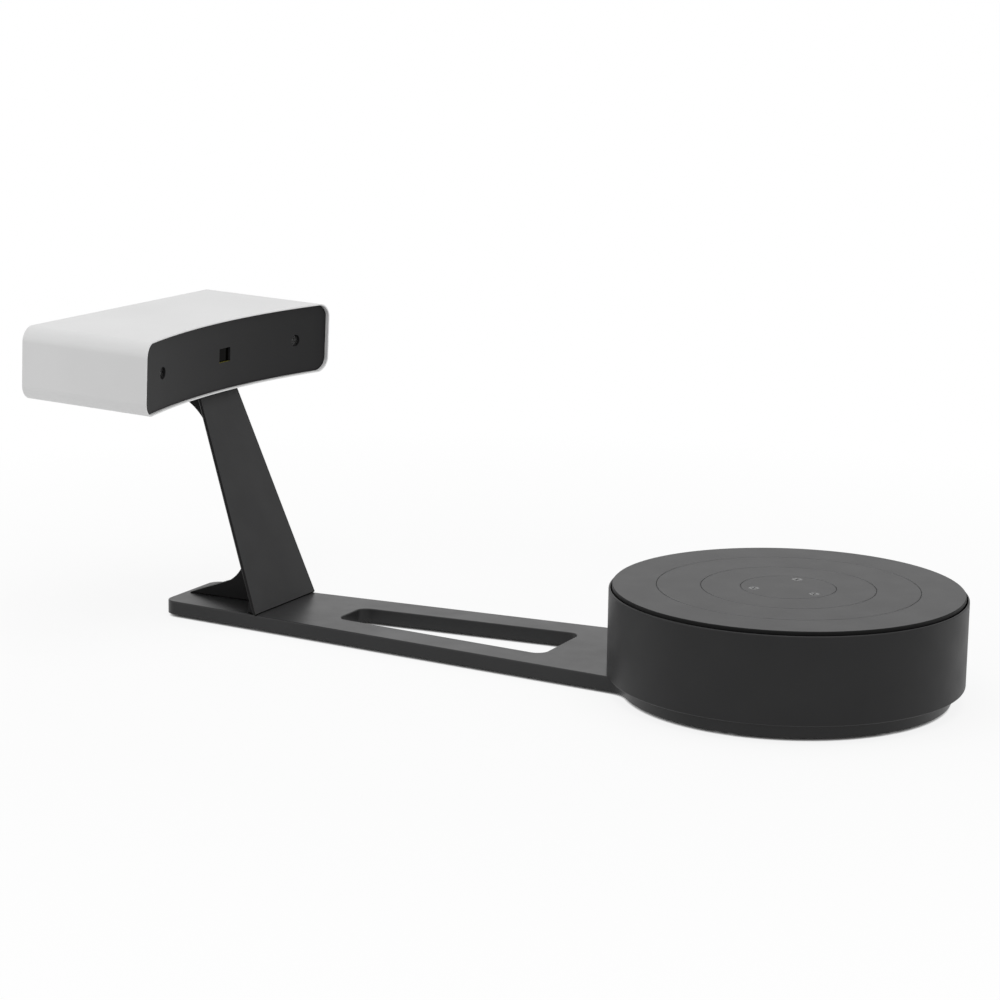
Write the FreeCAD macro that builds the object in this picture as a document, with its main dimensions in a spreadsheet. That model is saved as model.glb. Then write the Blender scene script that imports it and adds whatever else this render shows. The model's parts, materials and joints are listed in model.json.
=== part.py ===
# Desktop 3d scanner: a head on a leaning stand, a tapered base plate and a motor-driven turntable.
# Millimetres, +Z up. The origin is the middle of the machine's length, on the surface it stands on.
# +X runs from the head to the turntable, and the turntable frame and the head frame below carry
# the pieces: x = 0 is the turntable's axis or the head's front corners, z = 0 is what they rest on.
import FreeCAD, Part
import Sketcher
import math
import os
import re

DOCUMENT = FreeCAD.newDocument("scanner")
V = FreeCAD.Vector

# Driving dimensions: alias, value, meaning
SIZES = [
    ("axis_x", 181.5, "turntable axis, forward of the machine's middle"),
    ("fit_gap", 0.15, "gap round a piece that sits in a recess"),
    ("run_gap", 0.05, "radial clearance of a shaft in its hole"),
    ("thread_gap", 0.05, "radial gap between a screw and its tapped hole"),
    ("screw_radius", 1.5, "shank radius of the machine screws"),
    ("screw_hole", 1.75, "radius of a clearance hole for those screws"),
    ("screw_head_radius", 2.8, "head radius of those screws"),
    ("screw_head_height", 2.4, "head height of those screws"),
    ("counterbore_radius", 3.3, "radius of a sunk seat for a screw head"),
    ("counterbore_depth", 3.0, "depth of that seat"),
    ("small_radius", 1.0, "shank radius of the small screws"),
    ("small_hole", 1.2, "clearance hole for the small screws"),
    ("small_head_radius", 1.9, "head radius of the small screws"),
    ("small_head_height", 1.4, "head height of the small screws"),
    ("board_thickness", 1.6, "thickness of every circuit board"),
    ("foot_height", 2.0, "rubber foot height"),
    ("foot_radius", 6.5, "rubber foot radius"),
    ("foot_inset", 19.4, "distance of the front feet from the disc's edge"),
    ("tail_foot_inset", 21.5, "distance of the tail feet from the tail end"),
    ("tail_foot_side", 14.0, "distance of the tail feet from the middle line"),
    ("plate_thickness", 8.6, "base plate thickness"),
    ("plate_edge", 0.8, "rounding of the base plate's top edges"),
    ("tail_distance", 416.5, "tail end from the turntable axis"),
    ("tail_half", 30.5, "half width of the bar at the tail end"),
    ("tail_corner", 9.0, "radius of the tail corners"),
    ("root_distance", 60.0, "where the bar's sides end inside the disc"),
    ("root_half", 55.9, "half width of the bar there"),
    ("disc_radius", 97.4, "radius of the round end under the turntable"),
    ("bar_blend", 15.0, "hollow radius between bar and disc"),
    ("slot_near", 145.9, "near end of the long slot from the turntable axis"),
    ("slot_far", 295.6, "far end of the long slot"),
    ("slot_near_half", 27.4, "half width of the slot at its near end"),
    ("slot_far_half", 15.4, "half width of the slot at its far end"),
    ("slot_corner", 7.0, "corner radius of the slot"),
    ("channel_depth", 5.0, "depth of the cable channel under the plate"),
    ("channel_width", 5.0, "width of the channel's long run"),
    ("channel_turn", 8.0, "width of the channel's end runs"),
    ("channel_cross", 306.0, "distance of the channel's cross run from the turntable axis"),
    ("channel_side", 33.5, "distance of the long run from the middle line"),
    ("riser_inset", 35.0, "where the cable rises into the turntable, from the housing's outside"),
    ("cover_lip", 1.5, "width of the ledge that the cable cover lies on"),
    ("cover_thickness", 0.9, "cable cover thickness"),
    ("cable_radius", 1.3, "link cable radius"),
    ("cable_bend", 7.0, "bend radius of the link cable"),
    ("cable_end", 0.5, "straight end of the cable at its lower socket"),
    ("stand_distance", 342.8, "stand's front bottom edge from the turntable axis"),
    ("stand_foot_half", 36.6, "half width of the stand at its foot"),
    ("stand_top_half", 21.7, "half width of the stand under the head"),
    ("stand_lean", 20.6, "backward lean of the stand, degrees"),
    ("stand_plate", 3.2, "thickness of the stand's front plate"),
    ("stand_bevel", 1.7, "bevel of the front plate's rear edges"),
    ("spine_depth", 13.0, "depth of the spine from the front face, level"),
    ("spine_width", 12.0, "width of the spine"),
    ("toe_reach", 70.5, "reach of the toe behind the front edge"),
    ("toe_slope", 20.3, "slope of the toe's top, degrees"),
    ("toe_sweep", 24.0, "hollow radius from toe to spine"),
    ("top_sweep", 40.0, "hollow radius from spine to flange"),
    ("wedge_depth", 5.0, "extra depth of the stand's foot behind the plate"),
    ("wedge_rise", 10.0, "height of that foot"),
    ("wedge_inset", 3.5, "how far the foot stops short of the plate's sides"),
    ("flange_thickness", 3.5, "thickness of the stand's top flange"),
    ("flange_half", 19.0, "half width of the flange"),
    ("flange_tail", 7.0, "reach of the flange behind the hollow under it"),
    ("passage_front", 4.0, "wall in front of the cable passage"),
    ("passage_width", 5.0, "width of the cable passage"),
    ("stand_screw_depth", 5.0, "depth of the tapped holes in the stand's foot"),
    ("stand_screw_back", 4.2, "front pair of stand screws behind the front edge"),
    ("stand_screw_side", 24.0, "front pair of stand screws from the middle line"),
    ("toe_screw_first", 22.0, "first toe screw behind the front edge"),
    ("toe_screw_second", 38.0, "second toe screw behind the front edge"),
    ("drum_radius", 105.0, "outer radius of the turntable housing"),
    ("drum_height", 51.6, "height of the housing's rim above the base plate"),
    ("drum_wall", 2.5, "housing wall"),
    ("drum_edge", 0.6, "bevel of the housing's outer edges"),
    ("rim_depth", 3.3, "depth of the recess that the platter turns in"),
    ("platter_gap", 0.6, "gap round the platter"),
    ("ring_width", 21.0, "width of the housing's bottom ring"),
    ("ring_thickness", 3.0, "thickness of that ring"),
    ("boss_inset", 14.0, "distance of the housing's screw bosses from its outside"),
    ("boss_radius", 4.5, "radius of those bosses"),
    ("boss_height", 12.0, "height of those bosses"),
    ("boss_screw_length", 15.0, "length of the housing screws"),
    ("rim_width", 1.3, "width of the housing's rim beside the platter"),
    ("platter_top", 53.85, "platter top above the base plate"),
    ("platter_thickness", 5.0, "platter thickness"),
    ("platter_edge", 0.5, "bevel of the platter's top edge"),
    ("groove_width", 0.6, "width of the engraved circles"),
    ("groove_depth", 0.25, "depth of the engraved circles"),
    ("groove_inner", 28.0, "radius of the inner engraved circle"),
    ("groove_middle", 51.2, "radius of the middle engraved circle"),
    ("groove_outer", 77.1, "radius of the outer engraved circle"),
    ("platter_screw_circle", 20.8, "distance of the platter screws from the axis"),
    ("platter_screw_angle", -23.0, "direction of the first platter screw, degrees"),
    ("platter_screw_head", 3.0, "head radius of the countersunk platter screws"),
    ("platter_screw_length", 8.0, "length of those screws"),
    ("hub_radius", 27.0, "radius of the spindle's top flange"),
    ("hub_thickness", 4.0, "thickness of that flange"),
    ("gear_bore", 13.0, "radius of the hub that the drive gear sits on"),
    ("gear_thickness", 4.0, "drive gear thickness"),
    ("gear_module", 1.0, "tooth size of the gear pair"),
    ("gear_teeth", 96, "teeth of the drive gear"),
    ("pinion_teeth", 16, "teeth of the pinion"),
    ("pinion_height", 8.0, "pinion height"),
    ("tooth_slack", 0.2, "play between meshing teeth"),
    ("gear_screw_circle", 18.5, "distance of the gear screws from the axis"),
    ("spindle_radius", 6.0, "spindle radius in the bearings"),
    ("bearing_outer", 14.0, "outer radius of the ball bearings"),
    ("bearing_width", 8.0, "width of the ball bearings"),
    ("bearing_space", 10.0, "distance between the two bearings"),
    ("race_depth", 2.2, "radial thickness of each bearing ring"),
    ("ball_radius", 1.7, "bearing ball radius"),
    ("ball_count", 9, "balls in each bearing"),
    ("bearing_shoulder", 2.0, "radial height of the shoulders that hold the bearings"),
    ("spindle_shoulder", 1.6, "height of the collar that rests on the upper bearing"),
    ("nut_radius", 9.0, "radius of the spindle nut"),
    ("nut_height", 3.0, "height of the spindle nut"),
    ("housing_tube", 19.0, "outer radius of the bearing housing"),
    ("housing_lip", 1.0, "bearing housing above the upper bearing's top"),
    ("housing_flange", 27.0, "radius of the bearing housing's flange"),
    ("housing_flange_height", 2.6, "thickness of that flange"),
    ("housing_screw_circle", 23.0, "distance of its screws from the axis"),
    ("chassis_height", 30.0, "underside of the chassis plate above the base plate"),
    ("chassis_thickness", 4.0, "chassis plate thickness"),
    ("chassis_inset", 17.0, "chassis plate edge from the housing's outside"),
    ("post_share", 0.625, "each post's distance from both middle lines, as a share of the chassis radius"),
    ("thread_long", 8.0, "how far the longer screws go into their threads"),
    ("thread_short", 4.0, "how far the motor screws go into their threads"),
    ("board_screw_length", 5.0, "length of the board screws"),
    ("fascia_screw_length", 10.0, "length of the fascia screws"),
    ("post_radius", 5.0, "post radius"),
    ("post_screw_length", 14.0, "length of the screws into the posts"),
    ("motor_width", 42.3, "width of the motor"),
    ("motor_height", 24.0, "height of the motor"),
    ("motor_pilot", 11.0, "radius of the motor's pilot"),
    ("motor_shaft_radius", 2.5, "motor shaft radius"),
    ("motor_screw_place", 15.5, "distance of each motor screw from the motor's middle lines"),
    ("motor_corner", 4.0, "bevel of the motor's corners"),
    ("control_height", 6.0, "turntable board above the base plate"),
    ("control_length", 40.0, "turntable board along X"),
    ("control_width", 60.0, "turntable board along Y"),
    ("control_margin", 50.0, "turntable board's middle from the housing's outside"),
    ("control_inset", 4.0, "board screws from the board's edges"),
    ("spacer_radius", 2.6, "radius of the board spacers"),
    ("socket_side", 8.0, "width of the link cable's sockets"),
    ("head_distance", 375.8, "head's front corners from the turntable axis"),
    ("head_lift", 133.95, "head's front bottom corner above the base plate"),
    ("head_pitch", 2.0, "downward pitch of the head, degrees"),
    ("head_width", 216.0, "head width"),
    ("head_height", 45.9, "head height"),
    ("head_depth", 91.9, "head depth at its sides"),
    ("head_wall", 1.8, "shell wall"),
    ("rim_wall", 0.8, "shell wall round the fascia"),
    ("head_corner", 9.6, "radius of the shell's long edges"),
    ("front_radius", 465.0, "radius of the hollow front, in plan"),
    ("front_hollow", 12.7, "depth of the hollow front at the middle"),
    ("fascia_set", 2.0, "fascia behind the shell's front edge"),
    ("fascia_thickness", 3.0, "fascia thickness"),
    ("window_width", 12.4, "projector opening width"),
    ("window_height", 9.0, "projector opening height"),
    ("window_side", 2.2, "projector opening left of the middle"),
    ("pane_lip", 2.0, "ledge round each pane"),
    ("pane_thickness", 1.2, "pane thickness"),
    ("camera_angle", 9.65, "direction of each camera from the head's middle line, degrees"),
    ("camera_height", 23.2, "camera axis above the head's underside"),
    ("camera_opening", 3.9, "radius of the camera openings"),
    ("lens_gap", 0.5, "space between fascia and camera lens"),
    ("lens_radius", 4.6, "camera lens radius"),
    ("lens_length", 12.0, "camera lens length"),
    ("holder_width", 14.0, "width of the lens holder"),
    ("holder_depth", 8.0, "depth of the lens holder"),
    ("camera_board", 26.0, "width of the camera boards"),
    ("camera_spacer", 3.0, "length of the camera board spacers"),
    ("wing_inner", 30.0, "optical bench wing, from the camera towards the middle"),
    ("wing_outer", 18.0, "optical bench wing, from the camera outwards"),
    ("bench_thickness", 2.0, "optical bench sheet"),
    ("bench_bottom", 5.8, "lower edge of the optical bench"),
    ("bench_top", 41.0, "upper edge of the optical bench"),
    ("bench_foot", 14.0, "depth of the bench's feet"),
    ("bench_foot_side", 44.0, "outer end of the bench's feet"),
    ("cable_notch", 5.0, "half width of the cable's way under the bench"),
    ("base_front", 18.0, "front edge of the head's mounting plate"),
    ("base_back", 82.0, "rear edge of the mounting plate"),
    ("base_half", 62.0, "half width of the mounting plate"),
    ("base_thickness", 2.0, "mounting plate thickness"),
    ("mount_front", 31.0, "front pair of mounting screws behind the head's front corners"),
    ("mount_inset", 9.0, "rear pair of mounting screws from the flange's rear edge"),
    ("mount_side", 13.0, "mounting screws from the middle line"),
    ("engine_width", 40.0, "projector engine width"),
    ("engine_height", 26.0, "projector engine height"),
    ("barrel_radius", 9.0, "projector lens radius"),
    ("sink_depth", 9.0, "heat sink depth"),
    ("sink_base", 2.2, "heat sink base thickness"),
    ("sink_fins", 9, "heat sink fins"),
    ("sink_fin", 1.2, "heat sink fin thickness"),
    ("fan_width", 30.0, "fan frame width"),
    ("fan_depth", 8.0, "fan frame depth"),
    ("fan_bore", 14.0, "radius of the fan's opening"),
    ("fan_hub", 7.0, "fan hub radius"),
    ("fan_tip_gap", 0.6, "gap round the fan blades"),
    ("fan_blades", 7, "fan blades"),
    ("fan_pin", 1.0, "radius of the fan's pin"),
    ("fan_screw_place", 12.0, "fan screws from the fan's middle lines"),
    ("rear_set", 0.8, "rear cover inside the shell's rear edge"),
    ("rear_thickness", 2.4, "rear cover thickness"),
    ("vent_count", 8, "vent slots in the rear cover"),
    ("vent_pitch", 4.2, "distance between vent slots"),
    ("vent_width", 2.0, "width of a vent slot"),
    ("vent_height", 28.0, "height of a vent slot"),
    ("post_inset", 8.0, "rear cover screws from the shell's inner walls"),
    ("shell_post", 4.0, "radius of the shell's screw posts"),
    ("shell_post_length", 14.0, "length of those posts"),
    ("main_inner", 27.0, "main board's inner edge from the middle line"),
    ("main_margin", 13.2, "main board's outer edge from the shell's wall"),
    ("link_socket_back", 18.0, "link socket from the main board's rear edge"),
    ("link_socket_in", 2.0, "link socket from the main board's inner edge"),
    ("cable_drop", 7.0, "where the link cable has dropped below the projector, from the board's edge"),
    ("main_depth", 32.0, "main board along X"),
    ("main_lift", 6.2, "main board above the shell's underside"),
    ("port_width", 9.0, "opening of the data port"),
    ("port_height", 3.2, "height of that opening"),
    ("port_place", 44.0, "data port from the middle line"),
    ("port_depth", 9.0, "depth of the data port"),
    ("port_wall", 0.8, "wall of the data port's shell"),
    ("jack_place", 66.0, "power jack from the middle line"),
    ("jack_width", 10.0, "power jack width"),
    ("jack_height", 10.0, "power jack height"),
    ("jack_depth", 13.0, "power jack depth"),
    ("jack_bore", 3.2, "radius of the jack's mouth"),
    ("jack_pin", 1.0, "radius of the jack's pin"),
    ("button_inset", 46.0, "power button from the head's right side"),
    ("button_radius", 5.0, "power button radius"),
    ("button_proud", 1.6, "button standing out of the rear cover"),
    ("button_travel", 1.2, "travel of the power button"),
    ("button_flange", 6.6, "radius of the button's flange"),
    ("button_gap", 0.3, "gap round the power button"),
    ("switch_width", 7.0, "width of the button switch"),
    ("light_inset", 32.0, "status light from the head's right side"),
    ("light_radius", 1.6, "status light radius"),
    ("switch_board_width", 32.0, "width of the board that carries switch and light"),
    ("switch_board_height", 16.0, "height of that board"),
]
ALIASES = [row[0] for row in SIZES]

SHEET = DOCUMENT.addObject("Spreadsheet::Sheet", "sizes")
for line, (alias, value, meaning) in enumerate(SIZES, 1):
    SHEET.set(f"A{line}", alias)
    SHEET.set(f"B{line}", str(value))
    SHEET.setAlias(f"B{line}", alias)
    SHEET.set(f"C{line}", meaning)
DOCUMENT.recompute()


def size(alias):
    """The number that a cell of the sheet holds."""
    return float(SHEET.get(alias))


def bind(thing, prop, text):
    """Tie a property to the sheet: the words of text that name a cell read that cell."""
    words = re.sub(r"[a-z_]+", lambda hit: f"sizes.{hit[0]}" if hit[0] in ALIASES else hit[0], text)
    thing.setExpression(prop, words)


# Places that several pieces share, worked out from the driving dimensions
FRONT_CENTRE = "(front_radius - front_hollow)"
FASCIA_FRONT = "(front_radius + fascia_set)"
FASCIA_BACK = "(front_radius + fascia_set + fascia_thickness)"
FASCIA_BACK_X = f"(-front_hollow - fascia_set - fascia_thickness)"
BOARD_FACE = f"({FASCIA_BACK} + lens_gap + lens_length + holder_depth)"
WING_FACE = f"({BOARD_FACE} + board_thickness + camera_spacer)"
BENCH_FACE_X = f"({FRONT_CENTRE} - {WING_FACE} * cos(camera_angle) - wing_inner * sin(camera_angle))"
REAR_OUTER_X = "(-head_depth + rear_set)"
REAR_INNER_X = "(-head_depth + rear_set + rear_thickness)"
FAN_FRONT_X = f"({REAR_INNER_X} + fan_depth)"
SINK_FRONT_X = f"({FAN_FRONT_X} + sink_depth)"
HEAD_MIDDLE = "(head_height / 2)"
PLATTER_LOW = "(platter_top - platter_thickness)"
HUB_LOW = f"({PLATTER_LOW} - hub_thickness)"
GEAR_LOW = f"({HUB_LOW} - gear_thickness)"
CHASSIS_TOP = "(chassis_height + chassis_thickness)"
MOTOR_X = "(gear_module * (gear_teeth + pinion_teeth) / 2)"
COLLAR_LOW = f"({GEAR_LOW} - spindle_shoulder)"
UPPER_BEARING = f"({COLLAR_LOW} - bearing_width)"
LOWER_BEARING = f"({UPPER_BEARING} - bearing_space - bearing_width)"
NUT_LOW = f"({LOWER_BEARING} - nut_height)"
STAND_TOP = "(head_lift - (head_distance - stand_distance) * tan(head_pitch))"
CHANNEL_TOP = "(-plate_thickness + channel_depth)"
PLATTER_RADIUS = "(drum_radius - rim_width - platter_gap)"
BOSS_CIRCLE = "(drum_radius - boss_inset)"
CHASSIS_RADIUS = "(drum_radius - chassis_inset)"
CONTROL_MIDDLE = "(drum_radius - control_margin)"
CHANNEL_END = "(drum_radius - riser_inset)"
POST_PLACE = f"({CHASSIS_RADIUS} * post_share)"
SWEEP_CORNER = (f"(({STAND_TOP} - flange_thickness + spine_depth * tan(head_pitch))"
                " / (1 - tan(stand_lean) * tan(head_pitch)))")
FLANGE_REACH = (f"(spine_depth + {SWEEP_CORNER} * tan(stand_lean) + flange_tail"
                " + top_sweep / tan((90 + stand_lean + head_pitch) / 2))")
MOUNT_BACK = f"({FLANGE_REACH} + stand_distance - head_distance - mount_inset)"
MAIN_WIDTH = "((head_width - 2 * head_wall) / 2 - main_margin - main_inner)"
BUTTON_PLACE = "(head_width / 2 - button_inset)"
LIGHT_PLACE = "(head_width / 2 - light_inset)"
THREAD = "(screw_radius + thread_gap)"
SMALL_THREAD = "(small_radius + thread_gap)"

PIECES = []


# Frames

def on_base(thing):
    """Stand a piece on the base plate's top, measured from the turntable's axis."""
    bind(thing, "Placement.Base.x", "axis_x")
    bind(thing, "Placement.Base.z", "foot_height + plate_thickness")
    return thing


def in_head(thing):
    """Put a piece in the head's pitched frame, measured from its front bottom corners."""
    thing.Placement = FreeCAD.Placement(V(), FreeCAD.Rotation(V(0, 1, 0), 1))
    bind(thing, "Placement.Rotation.Angle", "head_pitch")
    bind(thing, "Placement.Base.x", "axis_x - head_distance")
    bind(thing, "Placement.Base.z", "foot_height + plate_thickness + head_lift")
    return thing


def at_camera(name, thing, side):
    """Turn a piece about the middle of the hollow front, to one camera's direction."""
    turned = DOCUMENT.addObject("Part::Compound", name)
    turned.Links = [thing]
    turned.Placement = FreeCAD.Placement(V(), FreeCAD.Rotation(V(0, 0, 1), 1))
    bind(turned, "Placement.Rotation.Angle", f"{-side} * camera_angle")
    bind(turned, "Placement.Base.x", FRONT_CENTRE)
    return turned


def piece(label, thing, frame):
    """Name a finished piece and put it in its frame."""
    thing.Label = label
    frame(thing)
    PIECES.append(thing)
    return thing


# Primitives and booleans, bound to the sheet

def block(name, length, low):
    """A box: three lengths and the place of its low corner."""
    thing = DOCUMENT.addObject("Part::Box", name)
    for prop, text in zip(("Length", "Width", "Height"), length):
        bind(thing, prop, text)
    for axis, text in zip("xyz", low):
        bind(thing, f"Placement.Base.{axis}", text)
    return thing


TURNS = {"Z": FreeCAD.Rotation(), "X": FreeCAD.Rotation(V(0, 1, 0), 90), "Y": FreeCAD.Rotation(V(1, 0, 0), -90)}


def rod(name, radius, length, start, axis="Z"):
    """A round bar that starts at a place and runs the positive way along an axis."""
    thing = DOCUMENT.addObject("Part::Cylinder", name)
    thing.Placement = FreeCAD.Placement(V(), TURNS[axis])
    bind(thing, "Radius", radius)
    bind(thing, "Height", length)
    for letter, text in zip("xyz", start):
        bind(thing, f"Placement.Base.{letter}", text)
    return thing


def fuse(name, *parts):
    """Join parts into one solid."""
    thing = DOCUMENT.addObject("Part::MultiFuse", name)
    thing.Shapes = list(parts)
    return thing


def cut(name, base, *tools):
    """Take tools away from a base."""
    thing = DOCUMENT.addObject("Part::Cut", name)
    thing.Base = base
    thing.Tool = tools[0] if len(tools) == 1 else fuse(f"{name}_tools", *tools)
    return thing


def common(name, first, second):
    """Keep what two parts share."""
    thing = DOCUMENT.addObject("Part::Common", name)
    thing.Base = first
    thing.Tool = second
    return thing


def group(name, *parts):
    """Keep separate solids together under one name."""
    thing = DOCUMENT.addObject("Part::Compound", name)
    thing.Links = list(parts)
    return thing


def screw(name, seat, way, length, small=False):
    """A cap screw: its head sits on the seat and its shank runs along way, such as +Z or -X."""
    kind = "small" if small else "screw"
    radius = f"{kind}_radius"
    head = f"{kind}_head_radius"
    height = f"{kind}_head_height"
    axis = way[1]
    index = "XYZ".index(axis)
    head_start = list(seat)
    shank_start = list(seat)
    if way[0] == "+":
        head_start[index] = f"({seat[index]}) - {height}"
    else:
        shank_start[index] = f"({seat[index]}) - ({length})"
    shank = rod(f"{name}_shank", radius, length, shank_start, axis)
    return fuse(name, rod(f"{name}_head", head, height, head_start, axis), shank)


def solid(name, shape):
    """A piece whose shape is worked out point by point."""
    thing = DOCUMENT.addObject("Part::Feature", name)
    thing.Shape = shape
    return thing


# Sketched bodies

def new_body(name):
    return DOCUMENT.addObject("PartDesign::Body", name)


def sketch(owner, plane, name, offset=None):
    """A sketch on one of the body's own origin planes, or parallel to it."""
    page = owner.newObject("Sketcher::SketchObject", name)
    support = [item for item in owner.Origin.OriginFeatures if item.Role == plane][0]
    page.AttachmentSupport = [(support, "")]
    page.MapMode = "FlatFace"
    if offset is not None:
        bind(page, "AttachmentOffset.Base.z", offset)
    return page


def pin_point(page, curve, end, place, start):
    """Tie one point of a sketch to the sheet."""
    for kind, text, number in zip(("DistanceX", "DistanceY"), place, start):
        index = page.addConstraint(Sketcher.Constraint(kind, curve, end, number))
        bind(page, f"Constraints[{index}]", text)


def outline(page, corners):
    """Draw a closed outline of straight sides through corners."""
    first = page.GeometryCount
    count = len(corners)
    starts = []
    for turn in range(count):
        angle = 2 * math.pi * turn / count
        starts.append((20 * math.cos(angle) + first, 20 * math.sin(angle)))
    for turn in range(count):
        here = starts[turn]
        following = starts[(turn + 1) % count]
        page.addGeometry(Part.LineSegment(V(*here, 0), V(*following, 0)), False)
    for turn in range(count):
        link = Sketcher.Constraint("Coincident", first + turn, 2, first + (turn + 1) % count, 1)
        page.addConstraint(link)
        pin_point(page, first + turn, 1, corners[turn], starts[turn])


def ring(page, centre, radius):
    """Draw a circle."""
    first = page.GeometryCount
    page.addGeometry(Part.Circle(V(first, 0, 0), V(0, 0, 1), 5), False)
    pin_point(page, first, 3, centre, (float(first), 0.0))
    index = page.addConstraint(Sketcher.Constraint("Radius", first, 5.0))
    bind(page, f"Constraints[{index}]", radius)


def pad(owner, page, length, both=False, back=False):
    """Raise a sketch into a solid."""
    feature = owner.newObject("PartDesign::Pad", f"{page.Name}_pad")
    feature.Profile = page
    bind(feature, "Length", length)
    feature.Midplane = both
    feature.Reversed = back
    DOCUMENT.recompute()
    return feature


def pocket(owner, page, length, both=False, back=False):
    """Cut a sketch out of a body, and make sure that it cut."""
    before = owner.Shape.Volume
    feature = owner.newObject("PartDesign::Pocket", f"{page.Name}_cut")
    feature.Profile = page
    bind(feature, "Length", length)
    feature.Midplane = both
    feature.Reversed = back
    DOCUMENT.recompute()
    if owner.Shape.Volume > before - 1e-6:
        raise RuntimeError(f"{page.Name} cuts nothing")
    return feature


def revolve(owner, page):
    """Turn a sketch about its upright axis."""
    feature = owner.newObject("PartDesign::Revolution", f"{page.Name}_turned")
    feature.Profile = page
    feature.ReferenceAxis = (page, ["V_Axis"])
    feature.Angle = 360
    DOCUMENT.recompute()
    return feature


def dress(kind, owner, name, amount, keep):
    """Round or bevel the edges that keep picks, by their ends and middle."""
    base = owner.Tip
    names = []
    for number, edge in enumerate(base.Shape.Edges, 1):
        if keep(edge):
            names.append(f"Edge{number}")
    feature = owner.newObject(f"PartDesign::{kind}", name)
    feature.Base = (base, names)
    bind(feature, "Radius" if kind == "Fillet" else "Size", amount)
    DOCUMENT.recompute()
    return feature


def along(edge, axis):
    """Whether a straight edge runs along an axis."""
    if edge.Curve.TypeId != "Part::GeomLine":
        return False
    return abs(edge.tangentAt(edge.FirstParameter).dot(axis)) > 0.999


def middle(edge):
    return edge.valueAt((edge.FirstParameter + edge.LastParameter) / 2)


X_WAY = V(1, 0, 0)
Y_WAY = V(0, 1, 0)
Z_WAY = V(0, 0, 1)


# Base

HOUSING_SCREW_TURNS = [30 + 60 * turn for turn in range(6)]
POST_SIGNS = [(1, 1), (-1, 1), (-1, -1), (1, -1)]


def round_place(radius, degrees):
    """A place on a circle, as two texts."""
    return f"({radius}) * cos({degrees})", f"({radius}) * sin({degrees})"


def stand_screw_places():
    """Where the screws come up into the stand, from the turntable's axis."""
    front = "-stand_distance - stand_screw_back"
    return [(front, "stand_screw_side"), (front, "-stand_screw_side"),
            ("-stand_distance - toe_screw_first", "0"), ("-stand_distance - toe_screw_second", "0")]


def base_holes():
    """Every screw hole of the base plate."""
    places = stand_screw_places()
    places += [round_place(BOSS_CIRCLE, turn) for turn in HOUSING_SCREW_TURNS]
    places += [(f"{a} * {POST_PLACE}", f"{b} * {POST_PLACE}") for a, b in POST_SIGNS]
    return places


def channel_runs(grow):
    """The cable channel's straight runs as boxes in plan: low and high corner, grown all round."""
    turn = f"(channel_turn / 2 + {grow})"
    run = f"(channel_width / 2 + {grow})"
    start = f"(-stand_distance - (passage_front + passage_width) / cos(stand_lean) - ({grow}))"
    end = f"(-{CHANNEL_END} + 3 + {grow})"
    return [
        (start, f"-{turn}", f"(-channel_cross + {turn})", turn),
        (f"(-channel_cross - {turn})", f"-{turn}", f"(-channel_cross + {turn})", f"(channel_side + {run})"),
        (f"(-channel_cross - {turn})", f"(channel_side - {run})", end, f"(channel_side + {run})"),
    ]


def box_corners(run):
    x_low, y_low, x_high, y_high = run
    return [(x_low, y_low), (x_high, y_low), (x_high, y_high), (x_low, y_high)]


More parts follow.
